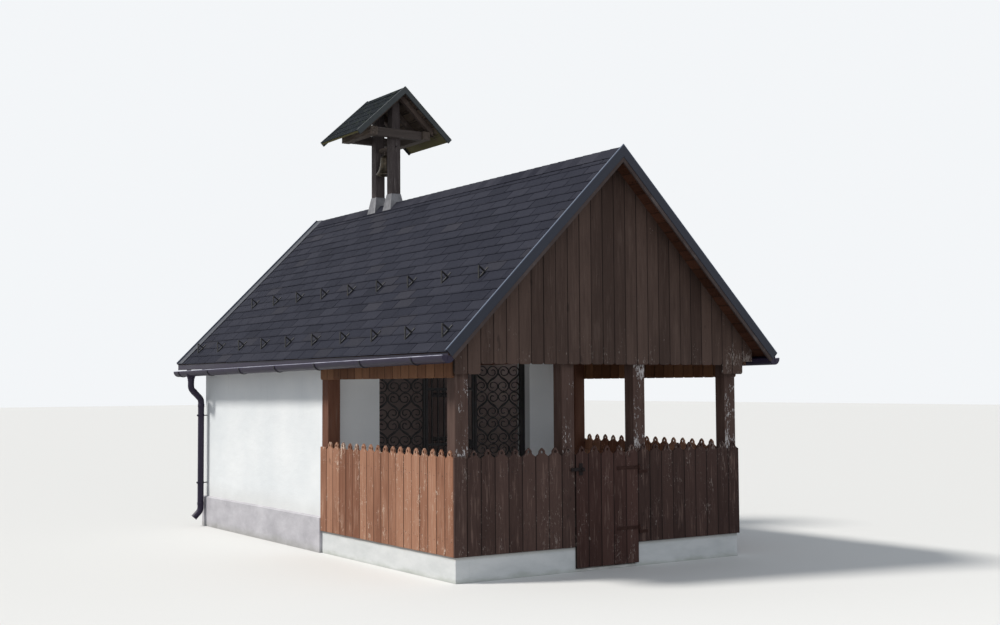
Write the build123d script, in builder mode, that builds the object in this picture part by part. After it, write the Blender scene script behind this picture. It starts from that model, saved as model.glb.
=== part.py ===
from build123d import *

import math
import os

os.makedirs("parts", exist_ok=True)

# A small wayside chapel: a rendered masonry room with a fenced timber porch in
# front of it, both under one steep shingled roof with a bell turret on its ridge.
# Millimetres. X runs to the right across the front, Y to the rear, Z up. The origin
# is on the ground, under the middle of the roof.

# Plan and roof.
fence_width = 3335.0        # over the outer faces of the two side fences
porch_depth = 2680.0        # face of the front fence to the face of the room
room_depth = 3350.0
front_overhang = 303.0      # roof beyond the face of the front fence
rear_overhang = 300.0
pitch = 45.0                # degrees
covering = 10.0             # shingles, square to the slope
covering_drip = 13.5        # shingles beyond the roof boards, level
deck_board = 24.0
deck_drip = 72.5            # roof boards beyond the fascia, level
rafter_width = 80.0
rafter_depth = 120.0
rafter_seat = 58.3          # level cut of the birdsmouth on the plate
rafter_gap = 20.0           # between a rafter and the face of a wall
tail_overhang = 156.0       # outer face of the frame to the ends of the rafters
porch_rafters = 4
room_rafters = 4
ridge_beam_width = 120.0
ridge_beam_depth = 200.0
timber_set_back = 30.0      # ends of plates and ridge beam behind the rear verge
fascia_board = 24.0
fascia_drop = 125.0

# Timber frame.
post = 140.0
post_chamfer = 6.0
fence_board = 20.0
plate_depth = 140.0
post_top = 1970.0
gate_post_left = 1168.0     # fence corner to the left face of each gate post
gate_post_right = 2008.0

# Masonry.
wall = 250.0
plinth_height = 370.0
plinth_proud = 30.0
floor_top = 40.0
kerb_height = 225.0
threshold_height = 22.0
opening_left = 690.0        # fence corner to the sides of the room's opening
opening_right = 2632.0
opening_rise = 30.0         # top of the opening above the tops of the posts

# Fence and gate.
fence_pitch = 145.0         # nearest width of one board
shoulder_height = 1070.0    # valleys between the cut heads
head_rise = 78.0
neck_rise = 24.0            # hollow shoulders up to the sides of the little point
finial = 60.0               # width of the point
finial_peak = 33.0          # height of its arched top
finial_eye = 44.0           # tip down to the middle of the hole
finial_hole = 10.0          # radius
corner_board = 130.0
corner_rise = 20.0          # plain boards at the corners over the valleys
gate_left = 1301.0          # fence corner to the edges of the gate
gate_right = 2035.0
gate_gap = 6.0              # beside the gate
gate_bottom = 35.0
gate_stand_off = 6.0        # gate's back to the posts that it closes on
rail_width = 70.0
rail_thickness = 35.0
rail_rise = 105.0           # kerb to the lower rail
rail_drop = 175.0           # valleys down to the upper rail
rail_play = 8.0
brace_cut = 90.0            # level width of the gate's brace
hinge_stand = 11.0          # gate's face to the hinge line
hinge_strap = 260.0
hinge_height = 34.0
hinge_sheet = 4.0
knuckle = 10.0              # radius
pin_radius = 5.0
pin_play = 0.1
pin_length = 80.0
pin_arm = 30.0
pin_bar = 8.0
pin_plate = 110.0
latch_plate = 40.0
latch_plate_height = 110.0
latch_bar = 150.0
latch_bar_height = 30.0
latch_lap = 60.0            # latch bar beyond the gate's edge
latch_rise = 40.0           # over the foot of the upper rail
latch_sheet = 5.0
latch_depth = 12.0
latch_knob = 11.0           # radius

# Gable and valances.
gable_board = 22.0
gable_pitch = 135.0         # nearest width of one board
gable_face = 50.0           # in front of the fence's face
gable_lap = 70.0            # boards below the tops of the posts
gable_end_rise = 35.0       # the outermost boards end higher by this
gable_drop = 90.0           # the boards beside them hang lower by this
gable_long_boards = 2
gable_round = 38.0
batten = 60.0
batten_rise = 20.0          # lowest batten over the tops of the posts
batten_peak = 819.0         # highest batten below the peak of the roof boards
batten_rows = 3
batten_end = 20.0
valance_pitch = 156.0       # nearest width of one board
valance_drop = 190.0        # below the tops of the posts
valance_gap = 6.7           # below the rafters
valance_end_gap = 2.0
valance_round = 40.0

# Iron grille.
grille_setback = 100.0      # face of the room to the front of the grille
grille_depth = 20.0
grille_bar = 27.0           # mullions and rails
grille_left_bar = 10.0
grille_right_bar = 65.0
scroll_pitch = 146.5        # across
scroll_columns = 4
scroll_turns = ((130, 1.0), (180, 1.0), (225, 1.0), (270, 1.0), (315, 1.0), (360, 1.0),
                (65, 0.77), (145, 0.58), (240, 0.42))
scroll_bar = 11.0
scroll_depth = 12.0
scroll_lap = 0.4            # by which touching bars are forged into each other
heart_point = 138.0         # lobe's middle to the point of the heart
heart_flank = 0.35          # share of the lobe where its side turns to the point
row_close = 130.0
row_wide = 162.0
first_row_drop = 106.0      # top rail to the middle of the first lobes
leaf_play = 6.0
leaf_foot = 15.0            # over the floor
leaf_stile = 28.0
leaf_pitch = 78.0           # between the bars
leaf_bar = 14.0
leaf_bar_inset = 3.0
leaf_low_rail = 115.0       # foot of the leaf to its lower two inner rails
leaf_mid_rail = 995.0
leaf_high_rail = 307.0      # top of the leaf down to the foot of its upper inner rail
leaf_hinge_in = 466.0       # ends of the leaf to its hinges
leaf_hinge_height = 40.0
leaf_knuckle = 9.0          # radius

# Roof metal.
verge_depth = 100.0
verge_sheet = 4.0
verge_front_flange = 45.0
verge_rear_flange = 190.0
ridge_cap_reach = 150.0
ridge_cap_thickness = 8.0
ridge_cap_lengths = 4
gutter_radius = 65.0
gutter_sheet = 3.0
gutter_gap = 8.0            # fascia to the back of the gutter
gutter_drop = 3.0           # roof boards down to the rim at the front end
gutter_fall = 61.0
gutter_end_gap = 12.0       # gutter ends short of the roof's ends
gutter_lengths = 4
length_joint = 0.4          # between two lengths of a gutter or of the ridge cap
bracket_width = 25.0
bracket_sheet = 5.0
bracket_play = 1.0
bracket_bends = 8           # flats of the strap's half round
bracket_leg = 45.0
bracket_head = 12.0
bracket_first = 521.0       # front end of the gutter to the first bracket
bracket_pitch = 984.0
pipe_radius = 38.0
pipe_flats = 16
pipe_wall = 3.0
pipe_seat = 0.3             # gutter to the mouth of the pipe
pipe_neck = 150.0           # straight below the gutter
pipe_swing = 285.0          # gutter down to the end of the slanting length
pipe_outlet_in = 160.0      # rear face of the room to the outlet, and to the pipe
pipe_in = 54.0
pipe_wall_gap = 14.0
pipe_bend = 40.0            # cut off each corner of the pipe's line
pipe_foot = 190.0
shoe_throw = 75.0
shoe_turn = 20.0
shoe_height = 105.0
clamp_rises = (150.0, 980.0)        # over the plinth
clamp_height = 25.0
clamp_width = 20.0
guard_pitch = 661.0
guard_bar = 8.0
guard_width = 20.0
guard_stand = 125.0
guard_strap = 145.0
guard_brace_up = 85.0
guard_end_gap = 100.0       # last guard to the rear verge
guard_lower_row = 177.0     # up the slope from the edge of the shingles
guard_upper_row = 956.0
guard_upper_step = 277.0    # first guard of the upper row behind that of the lower

# Bell turret.
turret_y = 4350.0           # front fence face to the turret's middle
turret_post = 120.0
turret_spread = 400.0       # between the middles of its two posts
turret_narrowing = 15.0     # of each side of a post, from its tie to its top
turret_rise = 883.0         # ridge to the tops of its ties
turret_tie = 620.0
turret_tie_depth = 100.0
turret_tie_width = 80.0
turret_purlin = 100.0
turret_purlin_end = 40.0    # purlins beyond the outer faces of the ties
turret_seat = 13.9          # level cut of its rafters on the purlins
turret_half = 640.0
turret_pitch = 42.4
turret_length = 1000.0
turret_board = 32.0
turret_rafter_depth = 60.0
turret_rafter_width = 60.0
turret_tail = 190.0         # boards beyond the ends of its rafters, level
turret_verge = 62.0
turret_verge_board = 20.0
turret_verge_lip = 8.0
flashing_height = 100.0
flashing_spread = 45.0
flashing_sheet = 4.0
bell_mouth = 120.0          # radius
bell_height = 245.0
bell_skin = 12.0
bell_outline = ((1.0, 0.0), (0.9, 0.1), (0.7, 0.35), (0.55, 0.85), (0.2, 1.0))
bell_drop = 314.0           # axle down to the rim
bell_stem = 28.0
axle_drop = 200.0           # tops of the ties down to the axle
axle_radius = 10.0
axle_end = 20.0             # beyond the middles of the posts
yoke = 50.0
yoke_play = 8.0
clapper_ball = 20.0         # radius
clapper_rod = 6.0           # radius

# Derived places.
half_width = fence_width / 2
roof_length = front_overhang + porch_depth + room_depth + rear_overhang
roof_front = -roof_length / 2
roof_rear = roof_length / 2
fence_y = roof_front + front_overhang
room_front = fence_y + porch_depth
room_rear = room_front + room_depth
frame_x = half_width - fence_board          # outer faces of posts, kerbs and walls
frame_y = fence_y + fence_board
slope = math.tan(math.radians(pitch))
lean = math.cos(math.radians(pitch))
plate_top = post_top + plate_depth
under_rafter = plate_top + (frame_x - rafter_seat) * slope      # on the ridge line
under_deck = under_rafter + rafter_depth / lean
under_covering = under_deck + deck_board / lean
ridge_height = under_covering + covering / lean
wall_inner = frame_x - wall
opening_top = post_top + opening_rise
rafter_tail = frame_x + tail_overhang
fascia_x = rafter_tail
deck_reach = fascia_x + fascia_board + deck_drip
eave_reach = deck_reach + covering_drip
tip_height = shoulder_height + head_rise
rail_heights = (kerb_height + rail_rise, shoulder_height - rail_drop)
gutter_line = fascia_x + fascia_board + gutter_gap + gutter_radius
boarding_front = fence_y - gable_face
boarding_back = boarding_front + gable_board
timber_rear = roof_rear - verge_sheet - timber_set_back     # ends of plates and ridge beam


def front_plane(y):
    """A plane that faces the front, so that its x is X and its y is Z."""
    return Plane(origin=(0, y, 0), x_dir=(1, 0, 0), z_dir=(0, -1, 0))


def side_plane(x):
    """A plane that faces the left, so that its x is -Y and its y is Z."""
    return Plane(origin=(x, 0, 0), x_dir=(0, -1, 0), z_dir=(-1, 0, 0))


def corners(points):
    """The points of an outline, without those that repeat the point before."""
    return [point for i, point in enumerate(points) if math.dist(point, points[i - 1]) > 0.01]


def block(x0, x1, y0, y1, z0, z1):
    """Adds a squared timber or slab between two corners to the open sub-part."""
    with BuildSketch(Plane.XY.offset(z0)) as profile:
        with Locations(((x0 + x1) / 2, (y0 + y1) / 2)):
            Rectangle(x1 - x0, y1 - y0)
    extrude(profile.sketch, amount=z1 - z0)


def slab(points, y0, y1):
    """Adds an outline of (x, z) points, drawn on the front, between two depths."""
    with BuildSketch(front_plane(y0)) as profile:
        with BuildLine():
            Polyline(*corners(points), close=True)
        make_face()
    extrude(profile.sketch, amount=-(y1 - y0))


# Masonry.
with BuildPart() as wall_left:
    block(-frame_x, -wall_inner, room_front, room_rear, 0, post_top)
wall_left.part.label = "wall_left"
export_step(wall_left.part, "parts/wall_left.step")

with BuildPart() as wall_right:
    mirror(wall_left.part, about=Plane.YZ)
wall_right.part.label = "wall_right"
export_step(wall_right.part, "parts/wall_right.step")

# The gables stand between the side walls, step out over them beside the wall
# plates and follow the underside of the roof boards. The ridge beam and the
# plates pass through.
gable_outline = [
    (frame_x - post, post_top),
    (frame_x - post, plate_top),
    (frame_x, plate_top),
    (frame_x, under_deck - frame_x * slope),
    (0, under_deck),
]
gable_mirrored = [(-x, z) for x, z in reversed(gable_outline[:-1])]

with BuildPart() as rear_wall:
    slab([(wall_inner, 0), (wall_inner, post_top)] + gable_outline + gable_mirrored
         + [(-wall_inner, post_top), (-wall_inner, 0)], room_rear - wall, room_rear)
    with Locations((0, room_rear - wall / 2, under_deck - ridge_beam_depth / 2)):
        Box(ridge_beam_width, wall, ridge_beam_depth, mode=Mode.SUBTRACT)
rear_wall.part.label = "rear_wall"
export_step(rear_wall.part, "parts/rear_wall.step")

with BuildPart() as front_piers:
    block(-wall_inner, opening_left - half_width, room_front, room_front + wall, 0, post_top)
    block(opening_right - half_width, wall_inner, room_front, room_front + wall, 0, post_top)
front_piers.part.label = "front_piers"
export_step(front_piers.part, "parts/front_piers.step")

with BuildPart() as front_gable:
    slab([(opening_right - half_width, opening_top), (opening_right - half_width, post_top)]
         + gable_outline + gable_mirrored
         + [(opening_left - half_width, post_top), (opening_left - half_width, opening_top)],
         room_front, room_front + wall)
    with Locations((0, room_front + wall / 2, under_deck - ridge_beam_depth / 2)):
        Box(ridge_beam_width, wall, ridge_beam_depth, mode=Mode.SUBTRACT)
front_gable.part.label = "front_gable"
export_step(front_gable.part, "parts/front_gable.step")

# The plinth is a band of hard render along the foot of the walls, bevelled on top.
with BuildPart() as plinth_sides:
    slab([(-frame_x, 0), (-frame_x - plinth_proud, 0),
          (-frame_x - plinth_proud, plinth_height - plinth_proud / 2),
          (-frame_x, plinth_height)], room_front, room_rear + plinth_proud)
    mirror(about=Plane.YZ)
plinth_sides.part.label = "plinth_sides"
export_step(plinth_sides.part, "parts/plinth_sides.step")

with BuildPart() as plinth_rear:
    with BuildSketch(side_plane(-frame_x)):
        with BuildLine():
            Polyline((-room_rear, 0), (-room_rear - plinth_proud, 0),
                     (-room_rear - plinth_proud, plinth_height - plinth_proud / 2),
                     (-room_rear, plinth_height), close=True)
        make_face()
    extrude(amount=-2 * frame_x)
plinth_rear.part.label = "plinth_rear"
export_step(plinth_rear.part, "parts/plinth_rear.step")

with BuildPart() as room_floor:
    block(-wall_inner, wall_inner, room_front + wall, room_rear - wall, 0, floor_top)
    block(opening_left - half_width, opening_right - half_width,
          room_front, room_front + wall, 0, floor_top)
room_floor.part.label = "room_floor"
export_step(room_floor.part, "parts/room_floor.step")

# Kerbs and porch floor.
gate_opening_left = gate_post_left + post - half_width
gate_opening_right = gate_post_right - half_width

with BuildPart() as kerb_sides:
    block(-frame_x, -frame_x + post, frame_y, room_front, 0, kerb_height)
    mirror(about=Plane.YZ)
kerb_sides.part.label = "kerb_sides"
export_step(kerb_sides.part, "parts/kerb_sides.step")

with BuildPart() as kerb_front:
    block(-frame_x + post, gate_opening_left, frame_y, frame_y + post, 0, kerb_height)
    block(gate_opening_right, frame_x - post, frame_y, frame_y + post, 0, kerb_height)
kerb_front.part.label = "kerb_front"
export_step(kerb_front.part, "parts/kerb_front.step")

with BuildPart() as threshold:
    block(gate_opening_left, gate_opening_right, frame_y, frame_y + post, 0, threshold_height)
threshold.part.label = "threshold"
export_step(threshold.part, "parts/threshold.step")

with BuildPart() as porch_floor:
    block(-frame_x + post, frame_x - post, frame_y + post, room_front, 0, threshold_height)
porch_floor.part.label = "porch_floor"
export_step(porch_floor.part, "parts/porch_floor.step")

# Posts and plates.
with BuildPart() as front_posts:
    for x in (-frame_x, gate_post_left - half_width, gate_post_right - half_width,
              frame_x - post):
        block(x, x + post, frame_y, frame_y + post, kerb_height, post_top)
    chamfer(front_posts.edges().filter_by(Axis.Z), length=post_chamfer)
front_posts.part.label = "front_posts"
export_step(front_posts.part, "parts/front_posts.step")

with BuildPart() as wall_posts:
    block(-frame_x, -frame_x + post, room_front - post, room_front, kerb_height, post_top)
    mirror(about=Plane.YZ)
    chamfer(wall_posts.edges().filter_by(Axis.Z), length=post_chamfer)
wall_posts.part.label = "wall_posts"
export_step(wall_posts.part, "parts/wall_posts.step")

with BuildPart() as wall_plates:
    block(-frame_x, -frame_x + post, frame_y, timber_rear, post_top, plate_top)
    mirror(about=Plane.YZ)
wall_plates.part.label = "wall_plates"
export_step(wall_plates.part, "parts/wall_plates.step")

with BuildPart() as front_beam:
    block(-frame_x + post, frame_x - post, frame_y, frame_y + post, post_top, plate_top)
front_beam.part.label = "front_beam"
export_step(front_beam.part, "parts/front_beam.step")

# Roof structure.
with BuildPart() as ridge_beam:
    bevel = ridge_beam_width / 2
    slab([(-bevel, under_deck - ridge_beam_depth), (bevel, under_deck - ridge_beam_depth),
          (bevel, under_deck - bevel * slope), (0, under_deck),
          (-bevel, under_deck - bevel * slope)], frame_y, timber_rear)
ridge_beam.part.label = "ridge_beam"
export_step(ridge_beam.part, "parts/ridge_beam.step")

# Rafters lean on the ridge beam and sit on the plate with a birdsmouth.
porch_last = room_front - rafter_width / 2 - rafter_gap
room_first = room_front + wall + rafter_width / 2 + rafter_gap
room_last = room_rear - wall - rafter_width / 2 - rafter_gap
rafter_lines = [frame_y + rafter_width / 2
                + i * (porch_last - frame_y - rafter_width / 2) / (porch_rafters - 1)
                for i in range(porch_rafters)]
rafter_lines += [room_first + i * (room_last - room_first) / (room_rafters - 1)
                 for i in range(room_rafters)]
rafter_lines.append(timber_rear - rafter_width / 2)

with BuildPart() as rafters_left:
    for y in rafter_lines:
        slab([(-ridge_beam_width / 2, under_deck - ridge_beam_width / 2 * slope),
              (-rafter_tail, under_deck - rafter_tail * slope),
              (-rafter_tail, under_rafter - rafter_tail * slope),
              (-frame_x, under_rafter - frame_x * slope),
              (-frame_x, plate_top),
              (-(under_rafter - plate_top) / slope, plate_top),
              (-ridge_beam_width / 2, under_rafter - ridge_beam_width / 2 * slope)],
             y - rafter_width / 2, y + rafter_width / 2)
rafters_left.part.label = "rafters_left"
export_step(rafters_left.part, "parts/rafters_left.step")

with BuildPart() as rafters_right:
    mirror(rafters_left.part, about=Plane.YZ)
rafters_right.part.label = "rafters_right"
export_step(rafters_right.part, "parts/rafters_right.step")

with BuildPart() as fascias:
    slab([(-fascia_x, under_deck - fascia_x * slope),
          (-fascia_x - fascia_board, under_deck - (fascia_x + fascia_board) * slope),
          (-fascia_x - fascia_board, under_deck - fascia_x * slope - fascia_drop),
          (-fascia_x, under_deck - fascia_x * slope - fascia_drop)],
         boarding_back, roof_rear - verge_sheet)
    mirror(about=Plane.YZ)
fascias.part.label = "fascias"
export_step(fascias.part, "parts/fascias.step")

# Where the turret's posts come through the roof.
turret_mid = fence_y + turret_y
turret_post_ys = (turret_mid - turret_spread / 2, turret_mid + turret_spread / 2)

with BuildPart() as deck_left:
    slab([(0, under_deck), (0, under_covering),
          (-deck_reach, under_covering - deck_reach * slope),
          (-deck_reach, under_deck - deck_reach * slope)],
         roof_front + verge_sheet, roof_rear - verge_sheet)
    for y in turret_post_ys:
        with Locations((0, y, ridge_height - turret_post / 2)):
            Box(turret_post, turret_post, 2 * turret_post, mode=Mode.SUBTRACT)
deck_left.part.label = "deck_left"
export_step(deck_left.part, "parts/deck_left.step")

with BuildPart() as deck_right:
    mirror(deck_left.part, about=Plane.YZ)
deck_right.part.label = "deck_right"
export_step(deck_right.part, "parts/deck_right.step")

with BuildPart() as shingles_left:
    slab([(0, under_covering), (0, ridge_height),
          (-eave_reach, ridge_height - eave_reach * slope),
          (-eave_reach, under_covering - eave_reach * slope)],
         roof_front + verge_sheet, roof_rear - verge_sheet)
    for y in turret_post_ys:
        with Locations((0, y, ridge_height - turret_post / 2)):
            Box(turret_post, turret_post, 2 * turret_post, mode=Mode.SUBTRACT)
shingles_left.part.label = "shingles_left"
export_step(shingles_left.part, "parts/shingles_left.step")

with BuildPart() as shingles_right:
    mirror(shingles_left.part, about=Plane.YZ)
shingles_right.part.label = "shingles_right"
export_step(shingles_right.part, "parts/shingles_right.step")

cap_rise = ridge_cap_thickness / lean
with BuildPart() as ridge_cap:
    reach = ridge_cap_reach * lean
    slab([(0, ridge_height), (reach, ridge_height - reach * slope),
          (reach, ridge_height + cap_rise - reach * slope), (0, ridge_height + cap_rise),
          (-reach, ridge_height + cap_rise - reach * slope), (-reach, ridge_height - reach * slope)],
         roof_front + verge_front_flange, roof_rear - verge_rear_flange)
    for y in turret_post_ys:
        with Locations((0, y, ridge_height)):
            Box(turret_post, turret_post, 2 * turret_post, mode=Mode.SUBTRACT)
    cap_front = roof_front + verge_front_flange
    cap_run = roof_rear - verge_rear_flange - cap_front
    for i in range(1, ridge_cap_lengths):
        with Locations((0, cap_front + i * cap_run / ridge_cap_lengths, ridge_height)):
            Box(4 * reach, length_joint, 4 * reach, mode=Mode.SUBTRACT)
ridge_cap.part.label = "ridge_cap"
export_step(ridge_cap.part, "parts/ridge_cap.step")

# Folded sheet over each verge: a face that hangs down and a flange on the shingles.
verge_rise = verge_sheet / lean


def verge(y_face, y_flange, flange_from, flange_to):
    """Adds one mitred pair of verge sheets, cut square at the eaves, with the face at y_face."""
    top = ridge_height + verge_rise
    width = verge_depth + verge_sheet
    foot = (eave_reach - width * slope * lean, top - eave_reach * slope - width * lean)
    slab([(0, top), (eave_reach, top - eave_reach * slope), foot,
          (0, ridge_height - verge_depth / lean), (-foot[0], foot[1]),
          (-eave_reach, top - eave_reach * slope)], y_face, y_flange)
    slab([(0, top), (eave_reach, top - eave_reach * slope),
          (eave_reach, top - verge_rise - eave_reach * slope), (0, top - verge_rise),
          (-eave_reach, top - verge_rise - eave_reach * slope),
          (-eave_reach, top - eave_reach * slope)], flange_from, flange_to)


with BuildPart() as verge_front:
    verge(roof_front, roof_front + verge_sheet, roof_front, roof_front + verge_front_flange)
verge_front.part.label = "verge_front"
export_step(verge_front.part, "parts/verge_front.step")

with BuildPart() as verge_rear:
    verge(roof_rear - verge_sheet, roof_rear, roof_rear - verge_rear_flange, roof_rear)
verge_rear.part.label = "verge_rear"
export_step(verge_rear.part, "parts/verge_rear.step")

# Gable boarding.
boarding_half = fascia_x + fascia_board
gable_boards = round(2 * boarding_half / gable_pitch)
gable_board_width = 2 * boarding_half / gable_boards
gable_bottom = post_top - gable_lap


def board_foot(x, width, z, radius):
    """Points of a board's rounded foot, from its left edge to its right edge."""
    corner = radius * (1 - math.cos(math.radians(45)))
    return [(x, z + radius), (x + corner, z + corner), (x + radius, z),
            (x + width - radius, z), (x + width - corner, z + corner), (x + width, z + radius)]


with BuildPart() as gable_boarding:
    outline = []
    for i in range(gable_boards):
        left = -boarding_half + i * gable_board_width
        from_end = min(i, gable_boards - 1 - i)
        if from_end == 0:
            outline += [(left, gable_bottom + gable_end_rise),
                        (left + gable_board_width, gable_bottom + gable_end_rise)]
        else:
            drop = gable_drop if from_end <= gable_long_boards else 0
            outline += board_foot(left, gable_board_width, gable_bottom - drop, gable_round)
    edge_top = under_deck - boarding_half * slope
    outline += [(boarding_half, edge_top), (0, under_deck), (-boarding_half, edge_top)]
    slab(outline, boarding_front, boarding_back)
gable_boarding.part.label = "gable_boarding"
export_step(gable_boarding.part, "parts/gable_boarding.step")

# Battens carry the boards off the front beam and the first pair of rafters.
batten_low = post_top + batten_rise
batten_high = under_deck - batten_peak
with BuildPart() as gable_battens:
    for i in range(batten_rows):
        z = batten_low + i * (batten_high - batten_low) / (batten_rows - 1)
        half = min(frame_x, (under_deck - z - batten) / slope - batten_end)
        block(-half, half, boarding_back, frame_y, z, z + batten)
gable_battens.part.label = "gable_battens"
export_step(gable_battens.part, "parts/gable_battens.step")

# Valances.
valance_length = room_front - frame_y - valance_end_gap
valance_boards = round(valance_length / valance_pitch)
valance_width = valance_length / valance_boards
valance_bottom = post_top - valance_drop
valance_top = under_rafter - half_width * slope - valance_gap
with BuildPart() as valances:
    outline = []
    for i in range(valance_boards):
        outline += board_foot(-room_front + i * valance_width, valance_width,
                              valance_bottom, valance_round)
    outline += [(-room_front + valance_length, valance_top), (-room_front, valance_top)]
    with BuildSketch(side_plane(-half_width)):
        with BuildLine():
            Polyline(*corners(outline), close=True)
        make_face()
    extrude(amount=-fence_board)
    mirror(about=Plane.YZ)
valances.part.label = "valances"
export_step(valances.part, "parts/valances.step")


# Fences.
def cut_head(x, width):
    """Outline of one board's cut head: hollow shoulders up to a small point."""
    mid = x + width / 2
    half = finial / 2
    left = [(x, shoulder_height), (x + width * 0.2, shoulder_height + neck_rise * 0.3),
            (mid - half, shoulder_height + neck_rise),
            (mid - half, tip_height - finial_peak),
            (mid - half * 0.6, tip_height - finial_peak * 0.4)]
    return left + [(mid, tip_height)] + [(2 * mid - px, z) for px, z in left[:0:-1]]


def fence_panel(plane, x0, x1, bottom, plain=0):
    """Adds boards with cut heads between x0 and x1 of a plane, after a plain one."""
    boards = round((x1 - x0 - plain) / fence_pitch)
    width = (x1 - x0 - plain) / boards
    outline = [(x0, bottom)]
    if plain > 0:
        outline += [(x0, shoulder_height + corner_rise), (x0 + plain, shoulder_height + corner_rise)]
    for i in range(boards):
        outline += cut_head(x0 + plain + i * width, width)
    outline += [(x1, shoulder_height), (x1, bottom)]
    with BuildSketch(plane) as panel:
        with BuildLine():
            Polyline(*corners(outline), close=True)
        make_face()
        with Locations(*[(x0 + plain + (i + 0.5) * width, tip_height - finial_eye)
                         for i in range(boards)]):
            RegularPolygon(radius=finial_hole, side_count=6, mode=Mode.SUBTRACT)
    extrude(panel.sketch, amount=-fence_board)


def rails(x0, x1):
    """Adds the two rails behind the front boards, between two posts."""
    for z in rail_heights:
        block(x0, x1, frame_y, frame_y + rail_thickness, z, z + rail_width)


with BuildPart() as fence_left:
    fence_panel(side_plane(-half_width), -room_front, -frame_y, kerb_height, post)
    for z in rail_heights:
        block(-frame_x, -frame_x + rail_thickness, frame_y + post, room_front - post,
              z, z + rail_width)
fence_left.part.label = "fence_left"
export_step(fence_left.part, "parts/fence_left.step")

with BuildPart() as fence_right:
    mirror(fence_left.part, about=Plane.YZ)
fence_right.part.label = "fence_right"
export_step(fence_right.part, "parts/fence_right.step")

with BuildPart() as fence_front_left:
    fence_panel(front_plane(fence_y), -half_width, gate_left - gate_gap - half_width,
                kerb_height, corner_board)
    rails(-frame_x + post, gate_post_left - half_width)
fence_front_left.part.label = "fence_front_left"
export_step(fence_front_left.part, "parts/fence_front_left.step")

with BuildPart() as fence_front_right:
    fence_panel(front_plane(fence_y), gate_right + gate_gap - half_width, half_width,
                kerb_height)
    rails(gate_post_right + post - half_width, frame_x - post)
fence_front_right.part.label = "fence_front_right"
export_step(fence_front_right.part, "parts/fence_front_right.step")

# Porch gate.
gate_y = frame_y - gate_stand_off - fence_board
gate_back = gate_y + fence_board
gate_rail_left = gate_opening_left + rail_play
gate_rail_right = gate_opening_right - rail_play
hinge_x = gate_right + gate_gap / 2 - half_width
hinge_y = gate_y - hinge_stand
hinge_heights = [z + rail_width / 2 for z in rail_heights]

with BuildPart() as gate_leaf:
    fence_panel(front_plane(gate_y), gate_left - half_width, gate_right - half_width, gate_bottom)
    for z in rail_heights:
        block(gate_rail_left, gate_rail_right, gate_back, gate_back + rail_thickness,
              z, z + rail_width)
    brace_low = rail_heights[0] + rail_width
    slab([(gate_rail_right - brace_cut, brace_low), (gate_rail_right, brace_low),
          (gate_rail_left + brace_cut, rail_heights[1]), (gate_rail_left, rail_heights[1])],
         gate_back, gate_back + rail_thickness)
gate_leaf.part.label = "gate_leaf"
export_step(gate_leaf.part, "parts/gate_leaf.step")

# Two strap hinges and the latch, whose bar reaches over the fence beside the gate.
with BuildPart() as gate_ironwork:
    for z in hinge_heights:
        foot = z - hinge_height / 2
        block(hinge_x - hinge_strap, hinge_x - knuckle / 2, gate_y - hinge_sheet, gate_y,
              foot, foot + hinge_height)
        with BuildSketch(Plane.XY.offset(foot)):
            with Locations((hinge_x, hinge_y)):
                Circle(knuckle)
                Circle(pin_radius + pin_play, mode=Mode.SUBTRACT)
        extrude(amount=hinge_height)
    latch_x = gate_left - half_width
    latch_z = rail_heights[1] + latch_rise
    latch_face = gate_y - latch_sheet
    middle = latch_x + latch_bar / 2 - latch_lap + latch_plate
    block(middle - latch_plate / 2, middle + latch_plate / 2, latch_face, gate_y,
          latch_z - latch_plate_height / 2, latch_z + latch_plate_height / 2)
    block(latch_x - latch_lap, latch_x + latch_bar - latch_lap, latch_face - latch_depth,
          latch_face, latch_z - latch_bar_height / 2, latch_z + latch_bar_height / 2)
    with BuildSketch(front_plane(latch_face - latch_depth)):
        with Locations((middle, latch_z)):
            RegularPolygon(radius=latch_knob, side_count=12)
    extrude(amount=2 * latch_knob)
gate_ironwork.part.label = "gate_ironwork"
export_step(gate_ironwork.part, "parts/gate_ironwork.step")

# Each pin stands on an arm that goes round behind the gate's edge to a plate on the fence.
with BuildPart() as gate_pins:
    for z in hinge_heights:
        foot = z - hinge_height / 2 - knuckle - pin_arm
        with BuildSketch(Plane.XY.offset(foot)):
            with Locations((hinge_x, hinge_y)):
                Circle(pin_radius)
        extrude(amount=pin_length + knuckle)
        block(hinge_x, hinge_x + pin_arm, hinge_y - pin_bar / 2, hinge_y + pin_bar / 2,
              foot, foot + pin_arm)
        block(hinge_x + pin_arm / 2, hinge_x + pin_arm, hinge_y, fence_y - latch_sheet,
              foot, foot + pin_arm)
        block(hinge_x + pin_arm / 2, hinge_x + pin_plate, fence_y - latch_sheet, fence_y,
              foot, foot + pin_arm)
gate_pins.part.label = "gate_pins"
export_step(gate_pins.part, "parts/gate_pins.step")

# Iron grille.
grille_y = room_front + grille_setback
panel_width = scroll_columns * scroll_pitch
left_panel_x = opening_left + grille_left_bar - half_width
leaf_bay_left = left_panel_x + panel_width + grille_bar
right_panel_x = opening_right - grille_right_bar - panel_width - half_width
leaf_bay_right = right_panel_x - grille_bar
scroll_top = opening_top - grille_bar
rows = [scroll_top - first_row_drop]
scroll_rows = 2 * int((rows[0] - row_close / 2 - floor_top) / (row_close + row_wide))
for i in range(1, scroll_rows):
    rows.append(rows[-1] - (row_wide if i % 2 else row_close))
panel_bottom = rows[-1] - row_close / 2

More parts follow.
